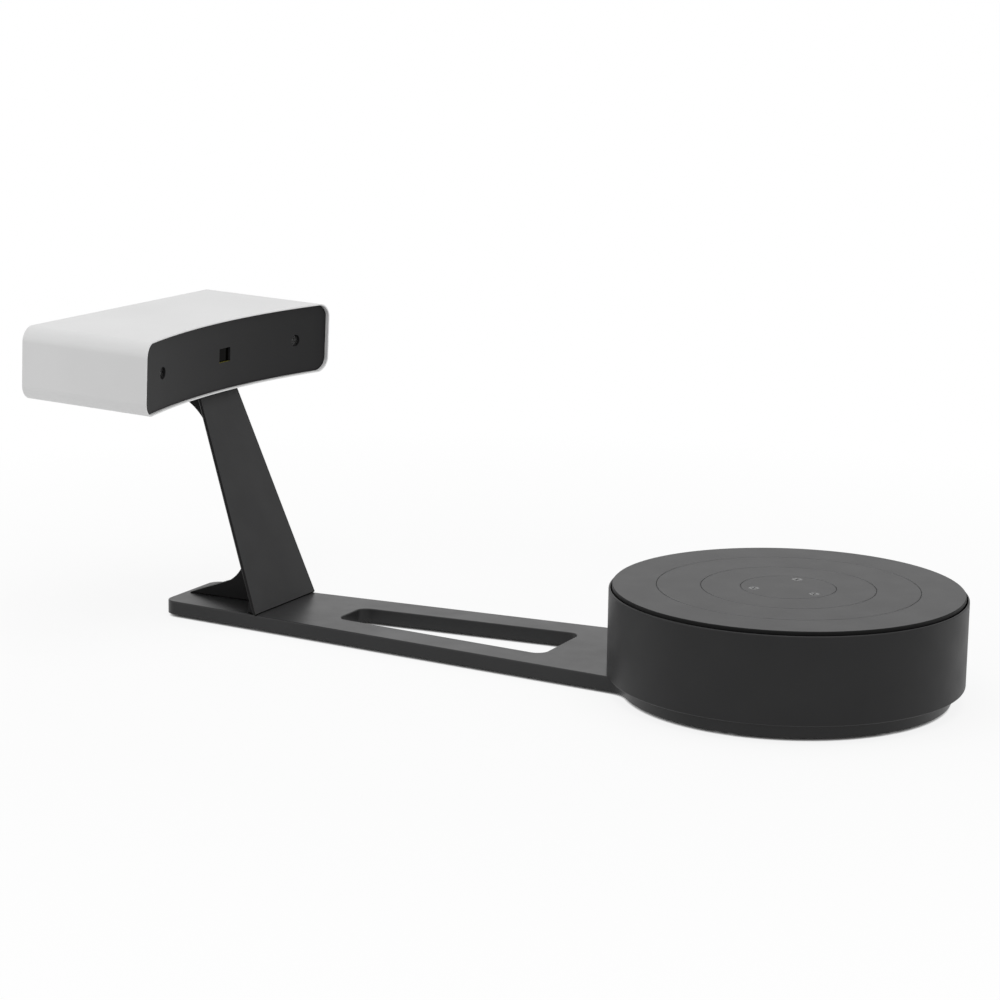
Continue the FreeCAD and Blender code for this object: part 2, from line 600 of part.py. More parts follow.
def make_base_plate():
    owner = new_body("base_plate_body")
    disc = sketch(owner, "XY_Plane", "disc")
    ring(disc, ("0", "0"), "disc_radius")
    pad(owner, disc, "plate_thickness", back=True)
    bar = sketch(owner, "XY_Plane", "bar")
    outline(bar, [("-root_distance", "-root_half"), ("-root_distance", "root_half"),
                  ("-tail_distance", "tail_half"), ("-tail_distance", "-tail_half")])
    pad(owner, bar, "plate_thickness", back=True)
    tail = -size("tail_distance")
    dress("Fillet", owner, "tail_corners", "tail_corner",
          lambda edge: along(edge, Z_WAY) and abs(middle(edge).x - tail) < 0.01)
    dress("Fillet", owner, "bar_blends", "bar_blend",
          lambda edge: along(edge, Z_WAY) and middle(edge).x > tail + size("tail_corner") * 2
          and abs(middle(edge).y) > size("tail_half") and middle(edge).x < 0)
    slot = sketch(owner, "XY_Plane", "slot")
    outline(slot, [("-slot_near", "-slot_near_half"), ("-slot_near", "slot_near_half"),
                   ("-slot_far", "slot_far_half"), ("-slot_far", "-slot_far_half")])
    pocket(owner, slot, "plate_thickness")
    far = size("slot_far") + 0.01
    near = size("slot_near") - 0.01
    dress("Fillet", owner, "slot_corners", "slot_corner",
          lambda edge: along(edge, Z_WAY) and -far < middle(edge).x < -near
          and abs(middle(edge).y) < size("slot_near_half") + 0.01)
    dress("Fillet", owner, "top_edges", "plate_edge",
          lambda edge: abs(edge.BoundBox.ZMin) < 1e-4 and abs(edge.BoundBox.ZMax) < 1e-4)
    holes = sketch(owner, "XY_Plane", "holes")
    for place in base_holes():
        ring(holes, place, "screw_hole")
    pocket(owner, holes, "plate_thickness")
    sinks = sketch(owner, "XY_Plane", "sinks", "-plate_thickness")
    for place in base_holes():
        ring(sinks, place, "counterbore_radius")
    pocket(owner, sinks, "counterbore_depth", back=True)
    for number, run in enumerate(channel_runs("0")):
        page = sketch(owner, "XY_Plane", f"channel_{number}", "-plate_thickness")
        outline(page, box_corners(run))
        pocket(owner, page, "channel_depth", back=True)
    ledge = sketch(owner, "XY_Plane", "cover_ledge", "-plate_thickness")
    outline(ledge, cover_corners("cover_lip"))
    pocket(owner, ledge, "cover_thickness", back=True)
    ways = sketch(owner, "XY_Plane", "cable_ways")
    back = "(passage_front + passage_width) / cos(stand_lean)"
    front = "passage_front / cos(stand_lean)"
    outline(ways, box_corners((f"-stand_distance - {back} - 0.4", "-passage_width / 2",
                               f"-stand_distance - {front} + 2", "passage_width / 2")))
    outline(ways, box_corners((f"-{CHANNEL_END} - 6", "channel_side - channel_width / 2",
                               f"-{CHANNEL_END} + 3", "channel_side + channel_width / 2")))
    pocket(owner, ways, "plate_thickness")
    piece("base_plate", owner, on_base)


def cover_corners(grow):
    """The cable cover's outline: the channel's runs, grown by its ledge."""
    first, cross, run = channel_runs(grow)
    return [(first[0], first[1]), (first[2], first[1]), (first[2], run[1]), (run[2], run[1]),
            (run[2], run[3]), (cross[0], run[3]), (cross[0], first[3]), (first[0], first[3])]


def make_cable_cover():
    owner = new_body("cable_cover_body")
    page = sketch(owner, "XY_Plane", "cover", "-plate_thickness")
    outline(page, cover_corners("cover_lip - fit_gap"))
    pad(owner, page, "cover_thickness")
    piece("cable_cover", owner, on_base)


def make_feet():
    low = "-plate_thickness - foot_height"
    places = [round_place("disc_radius - foot_inset", 90 * turn) for turn in range(4)]
    tail = "-tail_distance + tail_foot_inset"
    places += [(tail, "tail_foot_side"), (tail, "-tail_foot_side")]
    feet = []
    for number, (x, y) in enumerate(places):
        feet.append(rod(f"foot_{number}", "foot_radius", "foot_height", (x, y, low)))
    piece("rubber_feet", group("feet", *feet), on_base)


def screws_up(label, places, length):
    """Screws that come up through the base plate from sunk seats."""
    seat = "-plate_thickness + counterbore_depth"
    made = []
    for number, (x, y) in enumerate(places):
        made.append(screw(f"{label}_{number}", (x, y, seat), "+Z", length))
    piece(label, group(f"{label}_group", *made), on_base)


# Stand. Its body is measured from its front bottom edge.

def on_stand_foot(thing):
    bind(thing, "Placement.Base.x", "axis_x - stand_distance")
    bind(thing, "Placement.Base.z", "foot_height + plate_thickness")
    return thing


def leaning(offset, height):
    """A point a level distance behind the leaning front face, at a height."""
    return f"-({offset}) - ({height}) * tan(stand_lean)", height


def under_head(offset, drop="0"):
    """Where a line parallel to the front face meets the head's underside, or a plane below it."""
    height = f"({STAND_TOP} - {drop} + ({offset}) * tan(head_pitch)) / (1 - tan(stand_lean) * tan(head_pitch))"
    return leaning(offset, height)


def make_stand():
    depth = "stand_plate / cos(stand_lean)"
    owner = new_body("stand_body")
    face = sketch(owner, "XZ_Plane", "front_plate")
    outline(face, [("0", "0"), (f"-{depth}", "0"), under_head(depth), under_head("0")])
    pad(owner, face, "2 * stand_foot_half", both=True)
    sides = sketch(owner, "YZ_Plane", "side_trims")
    reach = "(head_lift + 10)"
    inner = f"(stand_foot_half - (stand_foot_half - stand_top_half) * {reach} / head_lift)"
    for sign in ("", "-"):
        outline(sides, [(f"{sign}stand_foot_half", "0"), (f"{sign}(stand_foot_half + 10)", "0"),
                        (f"{sign}(stand_foot_half + 10)", reach), (f"{sign}{inner}", reach)])
    pocket(owner, sides, "4 * head_lift", both=True)
    lean = math.tan(math.radians(size("stand_lean")))
    rear = size("stand_plate") / math.cos(math.radians(size("stand_lean")))
    dress("Chamfer", owner, "rear_bevels", "stand_bevel",
          lambda edge: edge.Length > size("head_lift") / 2
          and abs(middle(edge).x + rear + middle(edge).z * lean) < 0.01)
    spine = sketch(owner, "XZ_Plane", "spine")
    corner = ("((toe_reach - spine_depth) * tan(toe_slope)"
              " / (1 + tan(stand_lean) * tan(toe_slope)))")
    inside = f"{depth} / 2"
    flange_low = f"{STAND_TOP} - flange_thickness + {FLANGE_REACH} * tan(head_pitch)"
    flange_high = f"{STAND_TOP} + {FLANGE_REACH} * tan(head_pitch)"
    outline(spine, [(f"-{inside}", "0"), ("-toe_reach", "0"), leaning("spine_depth", corner),
                    under_head("spine_depth", "flange_thickness"), (f"-{FLANGE_REACH}", flange_low),
                    (f"-{FLANGE_REACH}", flange_high), under_head(inside)])
    pad(owner, spine, "spine_width", both=True)
    low_corner = (size("toe_reach") - size("spine_depth")) * math.tan(math.radians(size("toe_slope")))
    low_corner /= 1 + lean * math.tan(math.radians(size("toe_slope")))

    def on_spine_rear(edge, height):
        point = middle(edge)
        on_line = abs(point.x + size("spine_depth") + point.z * lean) < 0.01
        return along(edge, Y_WAY) and on_line and abs(point.z - height) < size("flange_thickness") * 3

    dress("Fillet", owner, "toe_hollow", "toe_sweep", lambda edge: on_spine_rear(edge, low_corner))
    dress("Fillet", owner, "top_hollow", "top_sweep",
          lambda edge: on_spine_rear(edge, size("head_lift")) and edge.Length > size("spine_width") - 0.01)
    wedge = sketch(owner, "XZ_Plane", "foot_wedge")
    outline(wedge, [(f"-{inside}", "0"), (f"-{depth} - wedge_depth", "0"),
                    leaning(depth, "wedge_rise"), leaning(inside, "wedge_rise")])
    pad(owner, wedge, "2 * (stand_foot_half - wedge_inset)", both=True)
    flange = sketch(owner, "XZ_Plane", "flange")
    outline(flange, [under_head("0", "flange_thickness"), under_head("0"),
                     (f"-{FLANGE_REACH}", flange_high), (f"-{FLANGE_REACH}", flange_low)])
    pad(owner, flange, "2 * flange_half", both=True)
    passage = sketch(owner, "XZ_Plane", "passage")
    front = "passage_front / cos(stand_lean)"
    back = "(passage_front + passage_width) / cos(stand_lean)"
    outline(passage, [leaning(front, "-1"), leaning(back, "-1"),
                      under_head(back, "-1"), under_head(front, "-1")])
    pocket(owner, passage, "passage_width", both=True)
    taps = sketch(owner, "XY_Plane", "foot_taps")
    for x, y in stand_screw_places():
        ring(taps, (f"{x} + stand_distance", y), THREAD)
    pocket(owner, taps, "stand_screw_depth + 1", back=True)
    holes = []
    for number, (x, y) in enumerate(mount_places()):
        holes.append(rod(f"flange_hole_{number}", "screw_hole", "3 * flange_thickness", (x, y, "-2 * flange_thickness")))
    pattern = group("flange_holes", *holes)
    pattern.Placement = FreeCAD.Placement(V(), FreeCAD.Rotation(V(0, 1, 0), 1))
    bind(pattern, "Placement.Rotation.Angle", "head_pitch")
    bind(pattern, "Placement.Base.x", "stand_distance - head_distance")
    bind(pattern, "Placement.Base.z", "head_lift")
    piece("stand", cut("stand_drilled", owner, pattern), on_stand_foot)


def mount_places():
    """The screws between stand and head, in the head's frame."""
    places = []
    for x in ("-mount_front", f"-{MOUNT_BACK}"):
        for y in ("mount_side", "-mount_side"):
            places.append((x, y))
    return places


# Turntable, fixed pieces

def make_drum():
    owner = new_body("drum_body")
    wall = sketch(owner, "XZ_Plane", "drum_wall_section")
    rebate = "drum_radius - rim_width"
    inner = "drum_radius - drum_wall"
    shelf = "drum_height - rim_depth"
    outline(wall, [("drum_radius - ring_width", "0"), ("drum_radius - drum_edge", "0"), ("drum_radius", "drum_edge"),
                   ("drum_radius", "drum_height - drum_edge"), ("drum_radius - drum_edge", "drum_height"),
                   (rebate, "drum_height"), (rebate, shelf), (inner, shelf),
                   (inner, "ring_thickness"), ("drum_radius - ring_width", "ring_thickness")])
    revolve(owner, wall)
    bosses = sketch(owner, "XY_Plane", "bosses")
    for turn in HOUSING_SCREW_TURNS:
        ring(bosses, round_place(BOSS_CIRCLE, turn), "boss_radius")
    pad(owner, bosses, "boss_height")
    taps = sketch(owner, "XY_Plane", "boss_taps")
    for turn in HOUSING_SCREW_TURNS:
        ring(taps, round_place(BOSS_CIRCLE, turn), THREAD)
    pocket(owner, taps, "boss_height", back=True)
    piece("turntable_housing", owner, on_base)


def make_posts():
    posts = []
    for number, (a, b) in enumerate(POST_SIGNS):
        place = (f"{a} * {POST_PLACE}", f"{b} * {POST_PLACE}", "0")
        bar = rod(f"post_bar_{number}", "post_radius", "chassis_height", place)
        posts.append(cut(f"post_{number}", bar, rod(f"post_bore_{number}", THREAD, "chassis_height", place)))
    piece("chassis_posts", group("posts", *posts), on_base)


def make_chassis():
    owner = new_body("chassis_body")
    disc = sketch(owner, "XY_Plane", "chassis_disc", "chassis_height")
    ring(disc, ("0", "0"), CHASSIS_RADIUS)
    pad(owner, disc, "chassis_thickness")
    holes = sketch(owner, "XY_Plane", "chassis_holes", "chassis_height")
    ring(holes, ("0", "0"), "housing_tube + fit_gap")
    ring(holes, (MOTOR_X, "0"), "motor_pilot + fit_gap")
    for a, b in POST_SIGNS:
        ring(holes, (f"{a} * {POST_PLACE}", f"{b} * {POST_PLACE}"), "screw_hole")
        ring(holes, (f"{MOTOR_X} + {a} * motor_screw_place", f"{b} * motor_screw_place"), "screw_hole")
    for turn in range(4):
        ring(holes, round_place("housing_screw_circle", 45 + 90 * turn), SMALL_THREAD)
    pocket(owner, holes, "chassis_thickness", back=True)
    piece("chassis_plate", owner, on_base)
    down = []
    for number, (a, b) in enumerate(POST_SIGNS):
        seat = (f"{a} * {POST_PLACE}", f"{b} * {POST_PLACE}", CHASSIS_TOP)
        down.append(screw(f"chassis_screw_{number}", seat, "-Z", "chassis_thickness + thread_long"))
    piece("chassis_screws", group("chassis_screw_group", *down), on_base)


def make_bearing_housing():
    owner = new_body("bearing_housing_body")
    section = sketch(owner, "XZ_Plane", "bearing_housing_section")
    bore = "bearing_outer + run_gap / 2"
    shoulder = "bearing_outer - bearing_shoulder"
    top = f"({UPPER_BEARING} + bearing_width - housing_lip)"
    flange_top = f"({CHASSIS_TOP} + housing_flange_height)"
    outline(section, [(bore, LOWER_BEARING), ("housing_tube", LOWER_BEARING), ("housing_tube", CHASSIS_TOP),
                      ("housing_flange", CHASSIS_TOP), ("housing_flange", flange_top),
                      ("housing_tube", flange_top), ("housing_tube", top), (bore, top),
                      (bore, UPPER_BEARING), (shoulder, UPPER_BEARING),
                      (shoulder, f"{LOWER_BEARING} + bearing_width"), (bore, f"{LOWER_BEARING} + bearing_width")])
    revolve(owner, section)
    holes = sketch(owner, "XY_Plane", "bearing_housing_holes", CHASSIS_TOP)
    for turn in range(4):
        ring(holes, round_place("housing_screw_circle", 45 + 90 * turn), "small_hole")
    pocket(owner, holes, "housing_flange_height", back=True)
    piece("bearing_housing", owner, on_base)
    made = []
    for turn in range(4):
        x, y = round_place("housing_screw_circle", 45 + 90 * turn)
        made.append(screw(f"bearing_screw_{turn}", (x, y, flange_top), "-Z",
                          "housing_flange_height + chassis_thickness - 0.5", small=True))
    piece("bearing_housing_screws", group("bearing_screw_group", *made), on_base)


def tube(name, outer, inner, length, low):
    return cut(name, rod(f"{name}_outer", outer, length, ("0", "0", low)),
               rod(f"{name}_inner", inner, length, ("0", "0", low)))


def make_bearings():
    outers = []
    inners = []
    balls = []
    pitch = "(bearing_outer + spindle_radius) / 2"
    for name, low in (("upper", UPPER_BEARING), ("lower", LOWER_BEARING)):
        outers.append(tube(f"{name}_race", "bearing_outer", "bearing_outer - race_depth", "bearing_width", low))
        inners.append(tube(f"{name}_core", "spindle_radius + race_depth", "spindle_radius", "bearing_width", low))
        for turn in range(int(size("ball_count"))):
            ball = DOCUMENT.addObject("Part::Sphere", f"{name}_ball_{turn}")
            bind(ball, "Radius", "ball_radius")
            x, y = round_place(pitch, f"360 * {turn} / ball_count")
            for letter, text in zip("xyz", (x, y, f"{low} + bearing_width / 2")):
                bind(ball, f"Placement.Base.{letter}", text)
            balls.append(ball)
    piece("bearing_outer_rings", group("outer_rings", *outers), on_base)
    piece("bearing_inner_rings", group("inner_rings", *inners), on_base)
    piece("bearing_balls", group("balls", *balls), on_base)


def make_motor():
    low = "chassis_height - motor_height"
    square = block("motor_block", ("motor_width", "motor_width", "motor_height"),
                   (f"{MOTOR_X} - motor_width / 2", "-motor_width / 2", low))
    corners = []
    for number, (a, b) in enumerate(POST_SIGNS):
        chip = block(f"motor_chip_{number}", ("2 * motor_corner", "2 * motor_corner", "motor_height"), ("0", "0", low))
        chip.Placement = FreeCAD.Placement(V(), FreeCAD.Rotation(Z_WAY, 45))
        bind(chip, "Placement.Base.x", f"{MOTOR_X} + {a} * motor_width / 2")
        bind(chip, "Placement.Base.y", f"{b} * motor_width / 2 - motor_corner * sqrt(2)")
        bind(chip, "Placement.Base.z", low)
        corners.append(chip)
    pilot = rod("motor_pilot_disc", "motor_pilot", "2", (MOTOR_X, "0", "chassis_height"))
    whole = fuse("motor_whole", cut("motor_square", square, *corners), pilot)
    holes = [rod("motor_bore", "motor_shaft_radius + run_gap", "motor_height", (MOTOR_X, "0", f"{low} + 3"))]
    made = []
    for number, (a, b) in enumerate(POST_SIGNS):
        x = f"{MOTOR_X} + {a} * motor_screw_place"
        y = f"{b} * motor_screw_place"
        holes.append(rod(f"motor_tap_{number}", THREAD, "5", (x, y, "chassis_height - 5")))
        made.append(screw(f"motor_screw_{number}", (x, y, CHASSIS_TOP), "-Z", "chassis_thickness + thread_short"))
    piece("motor_body", cut("motor_drilled", whole, *holes), on_base)
    piece("motor_screws", group("motor_screw_group", *made), on_base)


def make_control_board():
    x_low = f"-{CONTROL_MIDDLE} - control_length / 2"
    sheet = block("control_sheet", ("control_length", "control_width", "board_thickness"),
                  (x_low, "-control_width / 2", "control_height"))
    top = "control_height + board_thickness"
    chip = block("control_chip", ("12", "12", "1.6"), (f"-{CONTROL_MIDDLE} - 6", "-12", top))
    driver = block("control_driver", ("8", "10", "4"), (f"-{CONTROL_MIDDLE} + 8", "6", top))
    socket = block("control_socket", ("socket_side", "socket_side", "socket_side"),
                   (f"-{CHANNEL_END} - socket_side / 2", "channel_side - cable_bend - cable_end - socket_side", top))
    holes = []
    spacers = []
    made = []
    for number, (a, b) in enumerate(POST_SIGNS):
        x = f"-{CONTROL_MIDDLE} + {a} * (control_length / 2 - control_inset)"
        y = f"{b} * (control_width / 2 - control_inset)"
        if (a, b) == (-1, 1):
            y = "-control_inset"
        holes.append(rod(f"control_hole_{number}", "small_hole", "board_thickness", (x, y, "control_height")))
        bar = rod(f"control_bar_{number}", "spacer_radius", "control_height", (x, y, "0"))
        spacers.append(cut(f"control_spacer_{number}", bar,
                           rod(f"control_tap_{number}", SMALL_THREAD, "control_height", (x, y, "0"))))
        made.append(screw(f"control_screw_{number}", (x, y, top), "-Z", "board_screw_length", small=True))
    drilled = cut("control_drilled", sheet, *holes)
    piece("turntable_board", fuse("control_whole", drilled, chip, driver, socket), on_base)
    piece("turntable_board_spacers", group("control_spacers", *spacers), on_base)
    piece("turntable_board_screws", group("control_screw_group", *made), on_base)


# Turntable, turning pieces

def make_platter():
    owner = new_body("platter_body")
    section = sketch(owner, "XZ_Plane", "platter_section")
    groove_low = "platter_top - groove_depth"
    corners = [("0", PLATTER_LOW), (PLATTER_RADIUS, PLATTER_LOW), (PLATTER_RADIUS, "platter_top - platter_edge"),
               (f"{PLATTER_RADIUS} - platter_edge", "platter_top")]
    for radius in ("groove_outer", "groove_middle", "groove_inner"):
        outer = f"{radius} + groove_width / 2"
        inner = f"{radius} - groove_width / 2"
        corners += [(outer, "platter_top"), (outer, groove_low), (inner, groove_low), (inner, "platter_top")]
    corners.append(("0", "platter_top"))
    outline(section, corners)
    revolve(owner, section)
    cutters = []
    heads = []
    for turn in range(3):
        x, y = round_place("platter_screw_circle", f"(platter_screw_angle + {120 * turn})")
        sink = "platter_screw_head - screw_radius"
        hole = rod(f"platter_hole_{turn}", THREAD, "platter_thickness", (x, y, PLATTER_LOW))
        cone = DOCUMENT.addObject("Part::Cone", f"platter_sink_{turn}")
        head = DOCUMENT.addObject("Part::Cone", f"platter_head_{turn}")
        for thing, extra in ((cone, "fit_gap"), (head, "0")):
            bind(thing, "Radius1", f"screw_radius + {extra}")
            bind(thing, "Radius2", f"platter_screw_head + {extra}")
            bind(thing, "Height", sink)
            for letter, text in zip("xyz", (x, y, f"platter_top - ({sink})")):
                bind(thing, f"Placement.Base.{letter}", text)
        cutters += [hole, cone]
        shank = rod(f"platter_shank_{turn}", "screw_radius", "platter_screw_length",
                    (x, y, "platter_top - platter_screw_length"))
        heads.append(fuse(f"platter_screw_{turn}", head, shank))
    piece("platter", cut("platter_drilled", owner, *cutters), on_base)
    piece("platter_screws", group("platter_screw_group", *heads), on_base)


def make_spindle():
    owner = new_body("spindle_body")
    section = sketch(owner, "XZ_Plane", "spindle_section")
    shaft = "spindle_radius - run_gap / 2"
    collar = "spindle_radius + race_depth - 0.3"
    outline(section, [("0", NUT_LOW), (shaft, NUT_LOW), (shaft, COLLAR_LOW), (collar, COLLAR_LOW),
                      (collar, GEAR_LOW), ("gear_bore - run_gap", GEAR_LOW), ("gear_bore - run_gap", HUB_LOW),
                      ("hub_radius", HUB_LOW), ("hub_radius", PLATTER_LOW), ("0", PLATTER_LOW)])
    revolve(owner, section)
    taps = sketch(owner, "XY_Plane", "hub_taps", HUB_LOW)
    for turn in range(3):
        ring(taps, round_place("platter_screw_circle", f"(platter_screw_angle + {120 * turn})"), THREAD)
        ring(taps, round_place("gear_screw_circle", f"(platter_screw_angle + {60 + 120 * turn})"), SMALL_THREAD)
    pocket(owner, taps, "hub_thickness", back=True)
    piece("spindle", owner, on_base)
    nut = tube("nut_tube", "nut_radius", "spindle_radius - run_gap / 2 + thread_gap", "nut_height", NUT_LOW)
    piece("spindle_nut", nut, on_base)


def gear_face(teeth, module, slack, turn, centre):
    """A spur gear's outline: each tooth narrows in a straight line from root to tip."""
    pitch_radius = module * teeth / 2
    slope = math.tan(math.radians(20))
    half = math.pi * module / 4 - slack / 2
    levels = [(pitch_radius - 1.25 * module, half + 1.1 * module * slope),
              (pitch_radius, half), (pitch_radius + 0.9 * module, half - 1.0 * module * slope)]
    points = []
    for tooth in range(teeth):
        middle_angle = 2 * math.pi * tooth / teeth + turn
        flank = [(radius, width / radius) for radius, width in levels]
        for radius, angle in flank:
            points.append((radius, middle_angle - angle))
        for radius, angle in reversed(flank):
            points.append((radius, middle_angle + angle))
    corners = [centre + V(radius * math.cos(angle), radius * math.sin(angle), 0) for radius, angle in points]
    return Part.Face(Part.makePolygon(corners + corners[:1]))


def make_gears():
    module = size("gear_module")
    teeth = int(size("gear_teeth"))
    pinion_teeth = int(size("pinion_teeth"))
    slack = size("tooth_slack")
    gear_low = size("platter_top") - size("platter_thickness") - size("hub_thickness") - size("gear_thickness")
    low = V(0, 0, gear_low)
    wheel = gear_face(teeth, module, slack, 0, low).extrude(V(0, 0, size("gear_thickness")))
    bores = [(size("gear_bore"), 0, 0)]
    for turn in range(3):
        angle = size("platter_screw_angle") + 60 + 120 * turn
        bores.append((size("small_hole"), size("gear_screw_circle"), angle))
        bores.append((size("screw_hole") + size("fit_gap"), size("platter_screw_circle"), angle + 60))
    web = (size("hub_radius") + module * teeth / 2) / 2
    for turn in range(6):
        bores.append(((module * teeth / 2 - size("hub_radius")) / 2 - 3, web, 60 * turn))
    for radius, circle, angle in bores:
        place = low + V(circle * math.cos(math.radians(angle)), circle * math.sin(math.radians(angle)), 0)
        wheel = wheel.cut(Part.makeCylinder(radius, size("gear_thickness"), place))
    piece("drive_gear", solid("gear_wheel", wheel), on_base)
    made = []
    for turn in range(3):
        x, y = round_place("gear_screw_circle", f"(platter_screw_angle + {60 + 120 * turn})")
        made.append(screw(f"gear_screw_{turn}", (x, y, GEAR_LOW), "+Z", "gear_thickness + hub_thickness - 0.5", small=True))
    piece("gear_screws", group("gear_screw_group", *made), on_base)
    rise = (size("pinion_height") - size("gear_thickness")) / 2
    centre = V(module * (teeth + pinion_teeth) / 2, 0, gear_low - rise)
    pinion = gear_face(pinion_teeth, module, slack, math.pi / pinion_teeth, centre)
    pinion = pinion.extrude(V(0, 0, size("pinion_height")))
    bore = size("motor_shaft_radius") + size("run_gap") / 2
    pinion = pinion.cut(Part.makeCylinder(bore, size("pinion_height"), centre))
    piece("pinion", solid("pinion_wheel", pinion), on_base)
    low = "chassis_height - motor_height + 4"
    top = f"{GEAR_LOW} + gear_thickness / 2 + pinion_height / 2"
    shaft = rod("shaft", "motor_shaft_radius", f"{top} - ({low})", (MOTOR_X, "0", low))
    piece("motor_shaft", group("shaft_set", shaft), on_base)


# Head shell, fascia and rear cover

def rounded_bar(name, plane_offset, width, height, low, corner, depth):
    """A bar along X with rounded long edges: its front face, size, low edge and reach to the back."""
    owner = new_body(name)
    page = sketch(owner, "YZ_Plane", f"{name}_face", plane_offset)
    outline(page, [(f"-({width}) / 2", low), (f"({width}) / 2", low),
                   (f"({width}) / 2", f"({low}) + {height}"), (f"-({width}) / 2", f"({low}) + {height}")])
    pad(owner, page, depth, back=True)
    dress("Fillet", owner, f"{name}_corners", corner, lambda edge: along(edge, X_WAY))
    return owner


INNER_WIDTH = "(head_width - 2 * head_wall)"
INNER_HEIGHT = "(head_height - 2 * head_wall)"
INNER_CORNER = "head_corner - head_wall"


def shell_post_places():
    """The rear cover's screws: across and up, in the head's frame."""
    places = []
    for side in ("", "-"):
        for height in ("head_wall + post_inset - 1", "head_height - head_wall - post_inset + 1"):
            places.append((f"{side}({INNER_WIDTH} / 2 - post_inset + 1)", height))
    return places


def make_head_shell():
    outer = rounded_bar("shell_outer", "0", "head_width", "head_height", "0", "head_corner", "head_depth")
    inner = rounded_bar("shell_inner", "1", INNER_WIDTH, INNER_HEIGHT, "head_wall", INNER_CORNER, "head_depth + 2")
    hollow = rod("shell_hollow", "front_radius", "head_height + 2", (FRONT_CENTRE, "0", "-1"))
    sleeve = cut("shell_sleeve", outer, inner, hollow)
    parts = [sleeve]
    taps = []
    reach = f"{REAR_INNER_X}"
    for number, (y, z) in enumerate(shell_post_places()):
        parts.append(rod(f"shell_post_{number}", "shell_post", "shell_post_length", (reach, y, z), "X"))
        foot = "head_wall + post_inset"
        side = "-1" if y.startswith("-") else "1"
        web_y = f"{y} - 1" if side == "1" else f"{y} - post_inset"
        parts.append(block(f"shell_web_{number}", ("shell_post_length", "post_inset + 1", "2"),
                           (reach, web_y, f"{z} - 1")))
        taps.append(rod(f"shell_tap_{number}", SMALL_THREAD, "shell_post_length - 2", (reach, y, z), "X"))
    for number, (x, y) in enumerate(mount_places()):
        taps.append(rod(f"shell_hole_{number}", "screw_hole", "4", (x, y, "-1")))
    taps.append(block("shell_cable_way", ("20", "passage_width + 1", "4"), ("-mount_front - 6", "-(passage_width + 1) / 2", "-1")))
    whole = fuse("shell_whole", *parts)
    seat = rounded_bar("rim_blank", "1", "head_width - 2 * rim_wall", "head_height - 2 * rim_wall",
                       "rim_wall", "head_corner - rim_wall", "head_depth / 2")
    taps.append(common("rim_seat", seat, curved_sheet("rim_curve", "front_radius - 2", f"{FASCIA_BACK} + fit_gap")))
    trimmed = common("shell_trimmed", whole, rounded_bar("shell_limit", "0", "head_width", "head_height",
                                                         "0", "head_corner", "head_depth"))
    piece("head_shell", cut("shell_drilled", trimmed, *taps), in_head)


def curved_sheet(name, near, far):
    """A tall curved sheet between two radii about the middle of the hollow front."""
    outer = rod(f"{name}_far", far, "head_height + 4", (FRONT_CENTRE, "0", "-2"))
    inner = rod(f"{name}_near", near, "head_height + 8", (FRONT_CENTRE, "0", "-4"))
    return cut(name, outer, inner)


def make_fascia():
    margin = "(rim_wall + fit_gap)"
    face = rounded_bar("fascia_blank", "0", f"head_width - 2 * {margin}", f"head_height - 2 * {margin}",
                       margin, f"head_corner - {margin}", "head_depth / 2")
    sheet = common("fascia_sheet", face, curved_sheet("fascia_curve", FASCIA_FRONT, FASCIA_BACK))
    bosses = []
    tools = []
    for number, (y, z) in enumerate(fascia_screw_places()):
        bosses.append(rod(f"fascia_boss_{number}", "3", f"-({BENCH_FACE_X}) - front_hollow - 1",
                          (BENCH_FACE_X, y, z), "X"))
        tools.append(rod(f"fascia_tap_{number}", SMALL_THREAD, "12", (BENCH_FACE_X, y, z), "X"))
    near_bosses = common("fascia_posts", group("fascia_boss_group", *bosses),
                         curved_sheet("fascia_keep", f"{FASCIA_FRONT} + fascia_thickness / 2", f"{FASCIA_FRONT} + 60"))
    tools.append(block("fascia_window", ("20", "window_width", "window_height"),
                       ("-front_hollow - 10", "window_side - window_width / 2", f"{HEAD_MIDDLE} - window_height / 2")))
    tools.append(block("fascia_recess", ("4", "window_width + 2 * pane_lip", "window_height + 2 * pane_lip"),
                       (f"{FASCIA_BACK_X} - 4 + pane_thickness + 0.2", "window_side - window_width / 2 - pane_lip",
                        f"{HEAD_MIDDLE} - window_height / 2 - pane_lip")))
    for side in (1, -1):
        way = "left" if side == 1 else "right"
        hole = rod(f"fascia_{way}_hole", "camera_opening", "20", (f"-{FASCIA_BACK} - 5", "0", "camera_height"), "X")
        seat = rod(f"fascia_{way}_seat", "camera_opening + pane_lip", "pane_thickness + 5.2",
                   (f"-{FASCIA_BACK} - 5", "0", "camera_height"), "X")
        tools.append(at_camera(f"fascia_{way}_opening", fuse(f"fascia_{way}_cut", hole, seat), side))
    whole = fuse("fascia_whole", sheet, near_bosses)
    piece("front_fascia", cut("fascia_drilled", whole, *tools), in_head)


def make_panes():
    low_y = "window_side - window_width / 2 - pane_lip + fit_gap"
    low_z = f"{HEAD_MIDDLE} - window_height / 2 - pane_lip + fit_gap"
    pane = block("window_pane", ("pane_thickness", "window_width + 2 * pane_lip - 2 * fit_gap",
                                 "window_height + 2 * pane_lip - 2 * fit_gap"),
                 (f"{FASCIA_BACK_X} + 0.2", low_y, low_z))
    piece("projector_window", group("window_set", pane), in_head)
    panes = []
    for side in (1, -1):
        way = "left" if side == 1 else "right"
        disc = rod(f"{way}_pane", "camera_opening + pane_lip - fit_gap", "pane_thickness",
                   (f"-{FASCIA_BACK} + 0.2", "0", "camera_height"), "X")
        panes.append(at_camera(f"{way}_pane_turned", disc, side))
    piece("camera_windows", group("panes", *panes), in_head)


